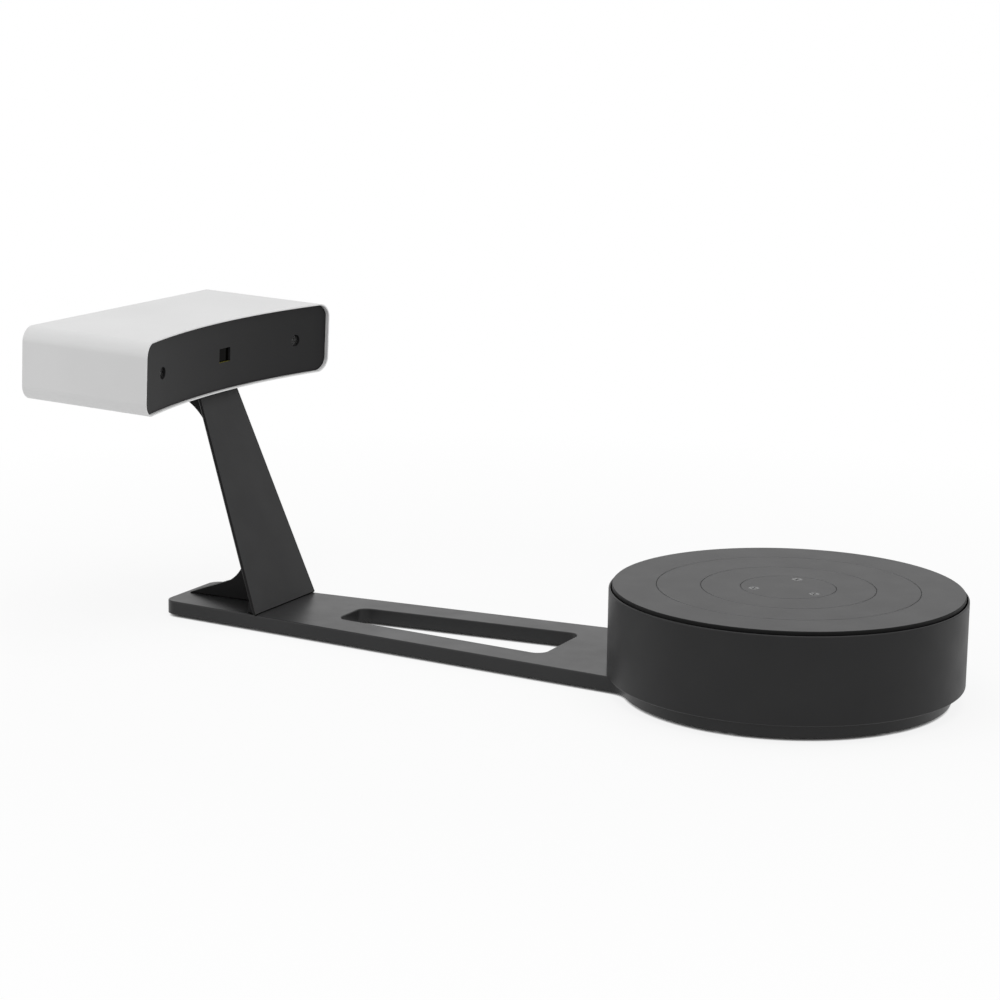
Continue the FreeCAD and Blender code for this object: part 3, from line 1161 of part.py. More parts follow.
def fascia_screw_places():
    """The screws that hold the fascia to the optical bench: across and up."""
    places = []
    for side in ("", "-"):
        for height in ("bench_bottom + 5", "bench_top - 5"):
            places.append((f"{side}(wing_inner + 1)", height))
    return places


def make_optical_bench():
    tall = "bench_top - bench_bottom"
    reach = f"{WING_FACE} * sin(camera_angle) - wing_inner * cos(camera_angle)"
    centre = block("bench_centre", ("bench_thickness", f"2 * ({reach})", tall),
                   (f"{BENCH_FACE_X} - bench_thickness", f"-({reach})", "bench_bottom"))
    parts = [centre]
    tools = []
    for side in (1, -1):
        way = "left" if side == 1 else "right"
        low = "-wing_inner" if side == 1 else "-wing_outer"
        wing = block(f"{way}_wing", ("bench_thickness", "wing_inner + wing_outer", tall),
                     (f"-{WING_FACE} - bench_thickness", low, "bench_bottom"))
        parts.append(at_camera(f"{way}_wing_turned", wing, side))
        joint = rod(f"{way}_bend", "bench_thickness / 2", tall,
                    (f"{BENCH_FACE_X} - bench_thickness / 2", f"{side} * ({reach})", "bench_bottom"))
        parts.append(joint)
        foot_low = "cable_notch + 3" if side == 1 else "-bench_foot_side"
        parts.append(block(f"{way}_bench_foot", ("bench_foot", "bench_foot_side - cable_notch - 3", "2"),
                           (f"{BENCH_FACE_X} - bench_foot", foot_low, "bench_bottom - 2")))
        parts.append(block(f"{way}_bench_heel", ("bench_thickness", "bench_foot_side - cable_notch - 3", "2"),
                           (f"{BENCH_FACE_X} - bench_thickness", foot_low, "bench_bottom - 1")))
        for row, back in (("near", "bench_foot - 4"),):
            tools.append(rod(f"{way}_{row}_foot_hole", "small_hole", "4",
                             (f"{BENCH_FACE_X} - ({back})", f"{side} * (bench_foot_side - 6)", "bench_bottom - 3")))
    for number, (y, z) in enumerate(fascia_screw_places()):
        tools.append(rod(f"bench_hole_{number}", "small_hole", "10", (f"{BENCH_FACE_X} - 6", y, z), "X"))
    tools.append(rod("bench_lens_hole", "barrel_radius + 0.5", "10", (f"{BENCH_FACE_X} - 6", "window_side", HEAD_MIDDLE), "X"))
    tools.append(block("bench_notch", ("10", "2 * cable_notch", "5"), (f"{BENCH_FACE_X} - 6", "-cable_notch", "bench_bottom - 1")))
    piece("optical_bench", cut("bench_drilled", fuse("bench_whole", *parts), *tools), in_head)
    made = []
    for side in (1, -1):
        seat = (f"{BENCH_FACE_X} - bench_foot + 4", f"{side} * (bench_foot_side - 6)", "bench_bottom")
        made.append(screw(f"bench_screw_{side + 1}", seat, "-Z", "2 + base_thickness - 0.2", small=True))
    piece("bench_screws", group("bench_screw_group", *made), in_head)
    made = []
    for number, (y, z) in enumerate(fascia_screw_places()):
        made.append(screw(f"fascia_screw_{number}", (f"{BENCH_FACE_X} - bench_thickness", y, z), "+X",
                          "fascia_screw_length", small=True))
    piece("fascia_screws", group("fascia_screw_group", *made), in_head)


def make_mounting_plate():
    plate = block("mounting_sheet", ("base_back - base_front", "2 * base_half", "base_thickness"),
                  ("-base_back", "-base_half", "head_wall"))
    tools = [block("mounting_cable_way", ("20", "passage_width + 1", "4"),
                   ("-mount_front - 6", "-(passage_width + 1) / 2", "head_wall - 1"))]
    made = []
    for number, (x, y) in enumerate(mount_places()):
        tools.append(rod(f"mounting_tap_{number}", THREAD, "base_thickness + 2", (x, y, "head_wall - 1")))
        made.append(screw(f"head_screw_{number}", (x, y, "-flange_thickness"), "+Z",
                          "flange_thickness + head_wall + base_thickness - 0.2"))
    for side in (1, -1):
        tools.append(rod(f"mounting_foot_tap_{side + 1}", SMALL_THREAD, "base_thickness + 2",
                         (f"{BENCH_FACE_X} - bench_foot + 4", f"{side} * (bench_foot_side - 6)", "head_wall - 1")))
    piece("head_mounting_plate", cut("mounting_drilled", plate, *tools), in_head)
    piece("head_screws", group("head_screw_group", *made), in_head)


# Cameras, projector, heat sink and fan

def make_cameras():
    for side, way in ((1, "left"), (-1, "right")):
        back = f"-{BOARD_FACE}"
        barrel = rod(f"{way}_barrel", "lens_radius", "lens_length", (f"{back} + holder_depth", "0", "camera_height"), "X")
        holder = block(f"{way}_holder", ("holder_depth", "holder_width", "holder_width"),
                       (back, "-holder_width / 2", "camera_height - holder_width / 2"))
        lens = fuse(f"{way}_lens", barrel, holder)
        piece(f"{way}_camera_lens", group(f"{way}_lens_set", at_camera(f"{way}_lens_turned", lens, side)), in_head)
        board = block(f"{way}_board", ("board_thickness", "camera_board", "camera_board"),
                      (f"{back} - board_thickness", "-camera_board / 2", "camera_height - camera_board / 2"))
        parts = [board]
        for number, (a, b) in enumerate(POST_SIGNS):
            place = (f"-{WING_FACE}", f"{a} * (camera_board / 2 - 3)", f"camera_height + {b} * (camera_board / 2 - 3)")
            parts.append(rod(f"{way}_board_leg_{number}", "1.5", "camera_spacer", place, "X"))
        whole = fuse(f"{way}_board_whole", *parts)
        piece(f"{way}_camera_board", group(f"{way}_board_set", at_camera(f"{way}_board_turned", whole, side)), in_head)


def make_projector():
    bench_back = f"({BENCH_FACE_X} - bench_thickness)"
    low_z = f"{HEAD_MIDDLE} - engine_height / 2"
    engine = block("engine_block", (f"{bench_back} - {SINK_FRONT_X}", "engine_width", "engine_height"),
                   (SINK_FRONT_X, "-engine_width / 2", low_z))
    socket = rod("engine_socket", "barrel_radius + run_gap", "8", (f"{bench_back} - 8", "window_side", HEAD_MIDDLE), "X")
    piece("projector_engine", cut("engine_bored", engine, socket), in_head)
    front = f"({FASCIA_BACK_X} - 1)"
    narrow = rod("barrel_front", "barrel_radius - 1.5", "6", (f"{front} - 6", "window_side", HEAD_MIDDLE), "X")
    wide = rod("barrel_rear", "barrel_radius", f"{front} - 5 - ({bench_back} - 8)", (f"{bench_back} - 8", "window_side", HEAD_MIDDLE), "X")
    piece("projector_lens", fuse("barrel_whole", narrow, wide), in_head)
    parts = [block("sink_plate", ("sink_base", "engine_width - 8", "engine_height"),
                   (f"{SINK_FRONT_X} - sink_base", "-engine_width / 2 + 4", low_z))]
    count = int(size("sink_fins"))
    for number in range(count):
        y = f"(-engine_width / 2 + 4) + (engine_width - 8 - sink_fin) * {number} / ({count} - 1)"
        parts.append(block(f"sink_fin_{number}", ("sink_depth - 0.3", "sink_fin", "engine_height"),
                           (f"{SINK_FRONT_X} - sink_depth + 0.3", y, low_z)))
    piece("heat_sink", fuse("sink_whole", *parts), in_head)


def make_fan():
    low_z = f"{HEAD_MIDDLE} - fan_width / 2"
    square = block("fan_square", ("fan_depth", "fan_width", "fan_width"), (REAR_INNER_X, "-fan_width / 2", low_z))
    hole = rod("fan_hole", "fan_bore", "fan_depth + 2", (f"{REAR_INNER_X} - 1", "0", HEAD_MIDDLE), "X")
    tools = [hole]
    made = []
    for number, (a, b) in enumerate(POST_SIGNS):
        y = f"{a} * fan_screw_place"
        z = f"{HEAD_MIDDLE} + {b} * fan_screw_place"
        tools.append(rod(f"fan_corner_hole_{number}", SMALL_THREAD, "fan_depth + 2", (f"{REAR_INNER_X} - 1", y, z), "X"))
        made.append(screw(f"fan_screw_{number}", (REAR_OUTER_X, y, z), "+X", "rear_thickness + 5", small=True))
    ring_part = cut("fan_ring", square, *tools)
    web = block("fan_web_level", ("1.2", "2 * fan_bore + 1", "2"), (REAR_INNER_X, "-fan_bore - 0.5", f"{HEAD_MIDDLE} - 1"))
    upright = block("fan_web_upright", ("1.2", "2", "2 * fan_bore + 1"), (REAR_INNER_X, "-1", f"{HEAD_MIDDLE} - fan_bore - 0.5"))
    hub = rod("fan_seat", "fan_hub", "1.2", (REAR_INNER_X, "0", HEAD_MIDDLE), "X")
    pin = rod("fan_pin_rod", "fan_pin", "fan_depth - 1", (REAR_INNER_X, "0", HEAD_MIDDLE), "X")
    piece("fan_frame", fuse("fan_frame_whole", ring_part, web, upright, hub, pin), in_head)
    piece("fan_screws", group("fan_screw_group", *made), in_head)
    start = f"{REAR_INNER_X} + 1.5"
    cup = rod("rotor_cup", "fan_hub", "fan_depth - 2", (start, "0", HEAD_MIDDLE), "X")
    parts = [cup]
    count = int(size("fan_blades"))
    for number in range(count):
        blade = block(f"blade_{number}", ("fan_depth - 2.6", "1", "fan_bore - fan_tip_gap - fan_hub + 1"),
                      ("0", "-0.5", "fan_hub - 1"))
        holder = DOCUMENT.addObject("Part::Compound", f"blade_turned_{number}")
        holder.Links = [blade]
        holder.Placement = FreeCAD.Placement(V(), FreeCAD.Rotation(X_WAY, 360 * number / count))
        bind(holder, "Placement.Base.x", f"{start} + 0.3")
        bind(holder, "Placement.Base.z", HEAD_MIDDLE)
        parts.append(holder)
    bore = rod("rotor_bore", "fan_pin + run_gap", "fan_depth", (f"{start} - 1", "0", HEAD_MIDDLE), "X")
    piece("fan_rotor", cut("rotor_bored", fuse("rotor_whole", *parts), bore), in_head)


# Boards, ports, button and light of the head

def make_main_board():
    x_low = f"{REAR_INNER_X} + 0.5"
    top = "main_lift + board_thickness"
    sheet = block("main_sheet", ("main_depth", MAIN_WIDTH, "board_thickness"), (x_low, "main_inner", "main_lift"))
    chips = [block("main_chip", ("13", "13", "1.6"), (f"{x_low} + 12", "main_inner + 20", top)),
             block("main_memory", ("8", "10", "1.2"), (f"{x_low} + 18", "main_inner + 37", top)),
             block("main_link_socket", ("socket_side", "6", "4"), (f"{x_low} + link_socket_back", "main_inner + link_socket_in", top))]
    holes = []
    spacers = []
    made = []
    for number, (a, b) in enumerate(((1, 0), (1, 1), (0, 1), (0, 0))):
        x = f"{x_low} + main_depth - 4" if a else f"{x_low} + 14"
        y = f"main_inner + {MAIN_WIDTH} - 16" if b else "main_inner + 14"
        holes.append(rod(f"main_hole_{number}", "small_hole", "4", (x, y, "main_lift - 1")))
        rest = "head_wall" if b else "head_wall + base_thickness"
        bar = rod(f"main_bar_{number}", "spacer_radius", f"main_lift - ({rest})", (x, y, rest))
        tap = rod(f"main_tap_{number}", SMALL_THREAD, "main_lift", (x, y, rest))
        spacers.append(cut(f"main_spacer_{number}", bar, tap))
        made.append(screw(f"main_screw_{number}", (x, y, top), "-Z", "board_thickness + 2", small=True))
    drilled = cut("main_drilled", sheet, *holes)
    piece("main_board", fuse("main_whole", drilled, *chips), in_head)
    piece("main_board_spacers", group("main_spacers", *spacers), in_head)
    piece("main_board_screws", group("main_screw_group", *made), in_head)
    shell = block("port_shell", ("port_depth", "port_width + 2 * port_wall", "port_height + 2 * port_wall"),
                  (f"{REAR_OUTER_X} + 0.3", "port_place - port_width / 2 - port_wall", top))
    mouth = block("port_mouth", ("port_depth - 1.5", "port_width", "port_height"),
                  (f"{REAR_OUTER_X} + 0.3", "port_place - port_width / 2", f"{top} + port_wall"))
    tongue = block("port_tongue", ("port_depth - 2", "port_width - 2.4", "0.8"),
                   (f"{REAR_OUTER_X} + 1.3", "port_place - port_width / 2 + 1.2", f"{top} + port_wall + port_height / 2 - 0.4"))
    piece("data_port", fuse("port_whole", cut("port_hollow", shell, mouth), tongue), in_head)
    body = block("jack_block", ("jack_depth", "jack_width", "jack_height"),
                 (f"{REAR_OUTER_X} + 0.3", "jack_place - jack_width / 2", top))
    middle_z = f"{top} + jack_height / 2"
    mouth = rod("jack_mouth", "jack_bore", "jack_depth - 2", (f"{REAR_OUTER_X} + 0.3", "jack_place", middle_z), "X")
    pin = rod("jack_contact", "jack_pin", "jack_depth - 2", (f"{REAR_OUTER_X} + 1.3", "jack_place", middle_z), "X")
    piece("power_jack", fuse("jack_whole", cut("jack_hollow", body, mouth), pin), in_head)


def make_button():
    rim = f"{REAR_INNER_X}"
    cap = rod("button_cap", "button_radius", f"button_proud + rear_thickness", (f"{REAR_OUTER_X} - button_proud", f"-{BUTTON_PLACE}", HEAD_MIDDLE), "X")
    flange = rod("button_flange_disc", "button_flange", "1.2", (rim, f"-{BUTTON_PLACE}", HEAD_MIDDLE), "X")
    piece("power_button", fuse("button_whole", cap, flange), in_head)
    switch_x = f"{rim} + 1.2 + button_travel + 0.3"
    body = block("switch_block", ("4", "switch_width", "switch_width"),
                 (switch_x, f"-{BUTTON_PLACE} - switch_width / 2", f"{HEAD_MIDDLE} - switch_width / 2"))
    board = block("switch_board", ("board_thickness", "switch_board_width", "switch_board_height"),
                  (f"{switch_x} + 4", f"-{LIGHT_PLACE} - 6", f"{HEAD_MIDDLE} - switch_board_height / 2"))
    arm = block("switch_arm", (f"{switch_x} + 4 - ({rim})", "4", "4"), (rim, f"-{LIGHT_PLACE} - 6", f"{HEAD_MIDDLE} - 2"))
    other = block("switch_other_arm", (f"{switch_x} + 4 - ({rim})", "4", "4"),
                  (rim, f"-{LIGHT_PLACE} - 6 + switch_board_width - 4", f"{HEAD_MIDDLE} - 2"))
    piece("button_switch", fuse("switch_whole", body, board, arm, other), in_head)
    light = rod("light_rod", "light_radius", f"{switch_x} + 4 - ({REAR_OUTER_X})", (REAR_OUTER_X, f"-{LIGHT_PLACE}", HEAD_MIDDLE), "X")
    piece("status_light", group("light_set", light), in_head)


def make_rear_cover():
    cover = rounded_bar("rear_blank", REAR_INNER_X, f"{INNER_WIDTH} - 2 * fit_gap", f"{INNER_HEIGHT} - 2 * fit_gap",
                        "head_wall + fit_gap", f"{INNER_CORNER} - fit_gap", "rear_thickness")
    depth = "rear_thickness + 2"
    start = f"{REAR_OUTER_X} - 1"
    tools = []
    made = []
    for number, (y, z) in enumerate(shell_post_places()):
        tools.append(rod(f"rear_hole_{number}", "small_hole", depth, (start, y, z), "X"))
        made.append(screw(f"rear_screw_{number}", (REAR_OUTER_X, y, z), "+X", "rear_thickness + thread_long", small=True))
    for number, (a, b) in enumerate(POST_SIGNS):
        tools.append(rod(f"rear_fan_hole_{number}", "small_hole", depth,
                         (start, f"{a} * fan_screw_place", f"{HEAD_MIDDLE} + {b} * fan_screw_place"), "X"))
    for number in range(int(size("vent_count"))):
        y = f"({number} - (vent_count - 1) / 2) * vent_pitch - vent_width / 2"
        tall = "vent_height" if 1 < number < int(size("vent_count")) - 2 else "vent_height - 11"
        tools.append(block(f"vent_{number}", (depth, "vent_width", tall), (start, y, f"{HEAD_MIDDLE} - ({tall}) / 2")))
    tools.append(rod("rear_button_hole", "button_radius + button_gap", depth, (start, f"-{BUTTON_PLACE}", HEAD_MIDDLE), "X"))
    tools.append(rod("rear_light_hole", "light_radius + fit_gap", depth, (start, f"-{LIGHT_PLACE}", HEAD_MIDDLE), "X"))
    top = "main_lift + board_thickness"
    tools.append(block("rear_port_hole", (depth, "port_width + 2 * port_wall + 2 * fit_gap", "port_height + 2 * port_wall + 2 * fit_gap"),
                       (start, "port_place - port_width / 2 - port_wall - fit_gap", f"{top} - fit_gap")))
    tools.append(block("rear_jack_hole", (depth, "jack_width + 2 * fit_gap", "jack_height + 2 * fit_gap"),
                       (start, "jack_place - jack_width / 2 - fit_gap", f"{top} - fit_gap")))
    piece("rear_cover", cut("rear_drilled", cover, *tools), in_head)
    piece("rear_cover_screws", group("rear_screw_group", *made), in_head)


# Link cable: head to turntable, through the stand's passage and the base plate's channel

def cable_solid(points, radius, bend):
    """A round cable through points, straight between them, with one arc at each inner point."""
    edges = []
    start = points[0]
    for before, here, after in zip(points, points[1:], points[2:]):
        back = (before - here).normalize()
        ahead = (after - here).normalize()
        half_turn = (math.pi - back.getAngle(ahead)) / 2
        inset = bend * math.tan(half_turn)
        enter = here + back * inset
        leave = here + ahead * inset
        bisector = (back + ahead).normalize()
        crown = here + bisector * (bend / math.cos(half_turn) - bend)
        edges.append(Part.LineSegment(start, enter).toShape())
        edges.append(Part.Arc(enter, crown, leave).toShape())
        start = leave
    edges.append(Part.LineSegment(start, points[-1]).toShape())
    path = Part.Wire(edges)
    profile = Part.Wire([Part.makeCircle(radius, points[0], points[1] - points[0])])
    cable = path.makePipeShell([profile], True, False)
    expected = math.pi * radius ** 2 * path.Length
    print(f"link cable: length {path.Length:.1f}, volume {cable.Volume:.1f} of {expected:.1f}, bend {bend}")
    return cable


def make_link_cable():
    lean = math.tan(math.radians(size("stand_lean")))
    cosine = math.cos(math.radians(size("stand_lean")))
    back = (size("passage_front") + size("passage_width") / 2) / cosine
    channel_z = -size("plate_thickness") + (size("channel_depth") + size("cover_thickness")) / 2
    to_head = FreeCAD.Placement(V(-size("head_distance"), 0, size("head_lift")),
                                FreeCAD.Rotation(V(0, 1, 0), size("head_pitch")))
    run_z = size("head_wall") + size("base_thickness") + size("cable_radius") + 1.2

    def in_passage(height):
        return V(-size("stand_distance") - back - height * lean, 0, height)

    def head_height_of(height):
        return to_head.inverse().multVec(in_passage(height)).z

    low, high = 0.0, 2 * size("head_lift")
    for _ in range(60):
        half = (low + high) / 2
        if head_height_of(half) < run_z:
            low = half
        else:
            high = half
    corner = in_passage(low)
    socket_x = -size("head_depth") + size("rear_set") + size("rear_thickness") + 0.5
    socket_x += size("link_socket_back") + size("socket_side") / 2
    board_top = size("main_lift") + size("board_thickness") + 2
    riser = size("riser_inset") - size("drum_radius")
    points = [to_head.multVec(V(socket_x, size("main_inner") + size("link_socket_in"), board_top)),
              to_head.multVec(V(socket_x, size("main_inner") - 1, board_top)),
              to_head.multVec(V(socket_x, size("main_inner") - size("cable_drop"), run_z)),
              to_head.multVec(V(socket_x, 0, run_z)),
              corner, in_passage(channel_z),
              V(-size("channel_cross"), 0, channel_z),
              V(-size("channel_cross"), size("channel_side"), channel_z),
              V(riser, size("channel_side"), channel_z),
              V(riser, size("channel_side"), size("control_height") + size("board_thickness") + size("socket_side") / 2),
              V(riser, size("channel_side") - size("cable_bend") - size("cable_end"),
                size("control_height") + size("board_thickness") + size("socket_side") / 2)]
    piece("link_cable", solid("cable", cable_solid(points, size("cable_radius"), size("cable_bend"))), on_base)


make_base_plate()
make_cable_cover()
make_feet()
make_stand()
screws_up("stand_screws", stand_screw_places(), "plate_thickness - counterbore_depth + stand_screw_depth - 0.5")
make_drum()
screws_up("housing_screws", [round_place(BOSS_CIRCLE, turn) for turn in HOUSING_SCREW_TURNS], "boss_screw_length")
make_posts()
screws_up("post_screws", [(f"{a} * {POST_PLACE}", f"{b} * {POST_PLACE}") for a, b in POST_SIGNS], "post_screw_length")
make_chassis()
make_bearing_housing()
make_bearings()
make_motor()
make_control_board()
make_platter()
make_spindle()
make_gears()
make_head_shell()
make_fascia()
make_panes()
make_optical_bench()
make_mounting_plate()
make_cameras()
make_projector()
make_fan()
make_main_board()
make_button()
make_rear_cover()
make_link_cable()
DOCUMENT.recompute()

for thing in DOCUMENT.Objects:
    if "Invalid" in thing.State or "Error" in thing.State:
        raise RuntimeError(f"{thing.Label} failed: {thing.State}")
for thing in PIECES:
    if thing.Shape.isNull() or not thing.Shape.isValid() or not thing.Shape.Solids:
        raise RuntimeError(f"{thing.Label} has no valid shape")

os.makedirs("parts", exist_ok=True)
for thing in PIECES:
    thing.Shape.exportStep(f"parts/{thing.Label}.step")
print(len(PIECES), "pieces written")
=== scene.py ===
"""Finishes, fine details and a plain studio for a desktop 3d scanner, laid out as an add-on."""

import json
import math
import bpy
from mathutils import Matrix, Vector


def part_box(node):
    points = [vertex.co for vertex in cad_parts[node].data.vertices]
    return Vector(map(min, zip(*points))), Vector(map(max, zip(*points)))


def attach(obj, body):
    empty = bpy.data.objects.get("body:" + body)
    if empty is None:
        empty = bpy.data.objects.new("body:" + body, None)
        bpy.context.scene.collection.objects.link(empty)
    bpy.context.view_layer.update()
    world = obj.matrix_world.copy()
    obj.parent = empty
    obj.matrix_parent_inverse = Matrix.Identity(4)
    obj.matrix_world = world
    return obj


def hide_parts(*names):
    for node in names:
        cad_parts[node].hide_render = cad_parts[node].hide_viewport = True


bl_info = {
    "name": "Desktop scanner finish",
    "version": (1, 0, 0),
    "blender": (4, 5, 0),
    "location": "View3D > Sidebar > Scanner",
    "description": "Finishes and fine details of a desktop 3d scanner, and a studio to see it in",
    "category": "Object",
}

import bmesh
import bpy
from bpy.props import FloatProperty, FloatVectorProperty, PointerProperty
from mathutils import Euler, Matrix, Vector

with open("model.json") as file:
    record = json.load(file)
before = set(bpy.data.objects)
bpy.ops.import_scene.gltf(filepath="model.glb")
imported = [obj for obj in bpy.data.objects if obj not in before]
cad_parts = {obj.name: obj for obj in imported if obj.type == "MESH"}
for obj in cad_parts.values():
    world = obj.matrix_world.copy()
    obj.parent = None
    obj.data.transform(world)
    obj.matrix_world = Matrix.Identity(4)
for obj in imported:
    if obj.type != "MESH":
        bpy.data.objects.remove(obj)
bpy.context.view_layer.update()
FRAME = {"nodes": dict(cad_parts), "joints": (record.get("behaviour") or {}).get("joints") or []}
MM = 0.001
UP = Vector((0, 0, 1))
AHEAD = Vector((1, 0, 0))

# Turntable
AXIS = next(Vector(joint["pos_m"]) for joint in FRAME["joints"] if joint["name"] == "platter_spin")
BASE_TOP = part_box("base_plate")[1].z
PLATTER_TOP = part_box("platter")[1].z
DRUM_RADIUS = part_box("turntable_housing")[1].y
RIM_WIDTH = 1.3 * MM
PLATTER_GAP = 0.6 * MM
PLATTER_EDGE = 0.5 * MM
DRUM_BORE = DRUM_RADIUS - RIM_WIDTH
PLATTER_RADIUS = DRUM_BORE - PLATTER_GAP
PLATTER_SKIN = 1.0 * MM

# Head, pitched down about its front bottom corner
HEAD_DISTANCE = 375.8 * MM
HEAD_LIFT = 133.95 * MM
HEAD_PITCH = math.radians(2.0)
HEAD = (Matrix.Translation((AXIS.x - HEAD_DISTANCE, 0, BASE_TOP + HEAD_LIFT))
        @ Matrix.Rotation(HEAD_PITCH, 4, "Y"))
IN_HEAD = HEAD.inverted()
HEAD_UP = HEAD.to_3x3() @ UP
HEAD_AHEAD = HEAD.to_3x3() @ AHEAD
HEAD_WIDTH = 2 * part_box("head_shell")[1].y
HEAD_DEPTH = 91.9 * MM
HEAD_HEIGHT = 45.9 * MM
HEAD_MIDDLE = HEAD_HEIGHT / 2
FRONT_RADIUS = 465.0 * MM
FRONT_HOLLOW = 12.7 * MM
PANEL_SET = 2.0 * MM
PANEL_THICKNESS = 3.0 * MM
WINDOW_WIDTH = 12.4 * MM
WINDOW_HEIGHT = 9.0 * MM
WINDOW_SIDE = 2.2 * MM
SEAM_REACH = 1.4 * HEAD_DEPTH

# Lenses, with the ledge and the depth of each step in their barrels
CAMERA_ANGLE = math.radians(9.65)
CAMERA_BARREL = 4.6 * MM
CAMERA_DEPTHS = (0.6 * MM, 0.5 * MM, 0.9 * MM)
PROJECTOR_BARREL = 7.5 * MM
PROJECTOR_STEPS = ((0.6 * MM, 0.4 * MM), (0.8 * MM, 0.6 * MM))
BARREL_ROUND = 0.15 * MM
GLASS_FIT = 0.98
GLASS_DOME = 0.3

# Boards
LENS_GAP = 0.5 * MM
LENS_LENGTH = 12.0 * MM
HOLDER_DEPTH = 8.0 * MM
CAMERA_BOARD = FRONT_RADIUS + PANEL_SET + PANEL_THICKNESS + LENS_GAP + LENS_LENGTH + HOLDER_DEPTH
BOARD_THICKNESS = 1.6 * MM
CONTROL_HEIGHT = 6.0 * MM
MAIN_LIFT = 6.2 * MM

# Screws: the radii of their heads, then the shape of a cross recess
SUNK_HEAD = 3.0 * MM
LARGE_HEAD = 2.8 * MM
SMALL_HEAD = 1.9 * MM
ARM_WIDTH = 0.55
RECESS_TAPER = 0.4
CUTTER_RISE = 0.05 * MM

# Shares of the edge rounding
REAR_SHARE = 0.7
STAND_SHARE = 1 / 2
PLATTER_SHARE = 1 / 3

# How far off its line or plane a point may lie and still count
CLOSE = 0.02 * MM
NEAR = 0.05 * MM
LOOSE = 0.1 * MM
SAME_PLACE = 0.001 * MM
SAME_PLANE = math.radians(0.2)

# What a normal's part along a direction has to pass: it looks that way, forwards, or downwards
ALIGNED = 0.99
FORWARDS = 0.5
DOWNWARDS = -0.2

# Lengths that tell the stand's long edges and its foot's edges from their short ones
LONG_EDGE = 20.0 * MM
FOOT_EDGE = 3.0 * MM

# Studio
FLOOR_SIZE = 9.0
CONTACT_REACH = 6.0 * MM
SENSOR_WIDTH = 36.0
VIEW_END = 50.0


# Properties

def colour(name, text, value):
    """A colour property."""
    return FloatVectorProperty(name=name, description=text, default=value,
                               subtype="COLOR", size=3, min=0, max=1)


def length(name, text, value):
    """A length property, in metres."""
    return FloatProperty(name=name, description=text, default=value,
                         unit="LENGTH", min=0, max=0.01, precision=5)


def share(name, text, value):
    """A property from 0 to 1."""
    return FloatProperty(name=name, description=text, default=value, subtype="FACTOR", min=0, max=1)


def rotation(name, text, value):
    """An angle property, in radians."""
    return FloatProperty(name=name, description=text, default=value, subtype="ANGLE")


def amount(name, text, value, high=1000):
    """A property from 0 up, with no unit."""
    return FloatProperty(name=name, description=text, default=value, min=0, max=high)


class ScannerColours(bpy.types.PropertyGroup):
    """Colours and gloss of the outside."""

    shell: colour("Shell", "White plastic sleeve of the head", (0.74, 0.74, 0.74))
    panel: colour("Front panel", "Dark hollow panel in the head's front", (0.019, 0.019, 0.0195))
    plate: colour("Base plate", "Blasted and anodised base plate", (0.024, 0.024, 0.0245))
    stand: colour("Stand", "Coated stand", (0.031, 0.031, 0.0315))
    drum: colour("Turntable housing", "Anodised drum", (0.0195, 0.0195, 0.020))
    platter: colour("Platter", "Anodised platter", (0.030, 0.030, 0.0305))
    rubber: colour("Rubber", "Feet", (0.018, 0.018, 0.018))
    metal_roughness: share("Metal roughness", "Gloss of the anodised metal, from mirror to matt", 0.42)
    shell_roughness: share("Shell roughness", "Gloss of the white plastic", 0.45)


class ScannerDetails(bpy.types.PropertyGroup):
    """Sizes of the fine details."""

    rim_round: length("Rim rounding", "Rounding of the white shell's front and rear rims", 0.00032)
    edge_round: length("Edge rounding", "Rounding of the stand's and panels' edges", 0.00035)
    # The joint is a real chamfer; the near-black finish on its lower faces is painted shade
    foot_joint: length("Foot joint", "Height of the dark joint line under the stand", 0.0008)
    seam: length("Seam", "Width of the white shell's closing seam", 0.0004)
    camera_glass: length("Camera glass", "Radius of the camera lenses' front glass", 0.0026)
    screw_round: length("Screw rounding", "Rounding of the screw heads", 0.00022)
    recess_depth: length("Recess depth", "Depth of the cross in each screw", 0.0009)
    recess_reach: share("Recess reach", "Reach of the cross, as a share of the head's radius", 0.66)


class ScannerStudio(bpy.types.PropertyGroup):
    """Camera and light."""

    place: FloatVectorProperty(name="Camera place", description="Where the camera stands",
                               subtype="TRANSLATION", size=3, default=(0.74562, -1.48801, 0.44915))
    turn: rotation("Camera direction", "Turn about the upright axis", 0.468951)
    tilt: rotation("Camera tilt", "Downward tilt", 0.208846)
    roll: rotation("Camera roll", "Turn about the view", 0.015577)
    lens: amount("Lens", "Focal length on a 36 mm frame, in millimetres", 100.27)
    ambient: amount("Ambient", "Even light from all round", 0.50, 2)
    key: amount("Key light", "Power of the overhead soft box, in watts", 13)
    side: amount("Side light", "Power of the side soft box, in watts", 5)


# Shader helpers

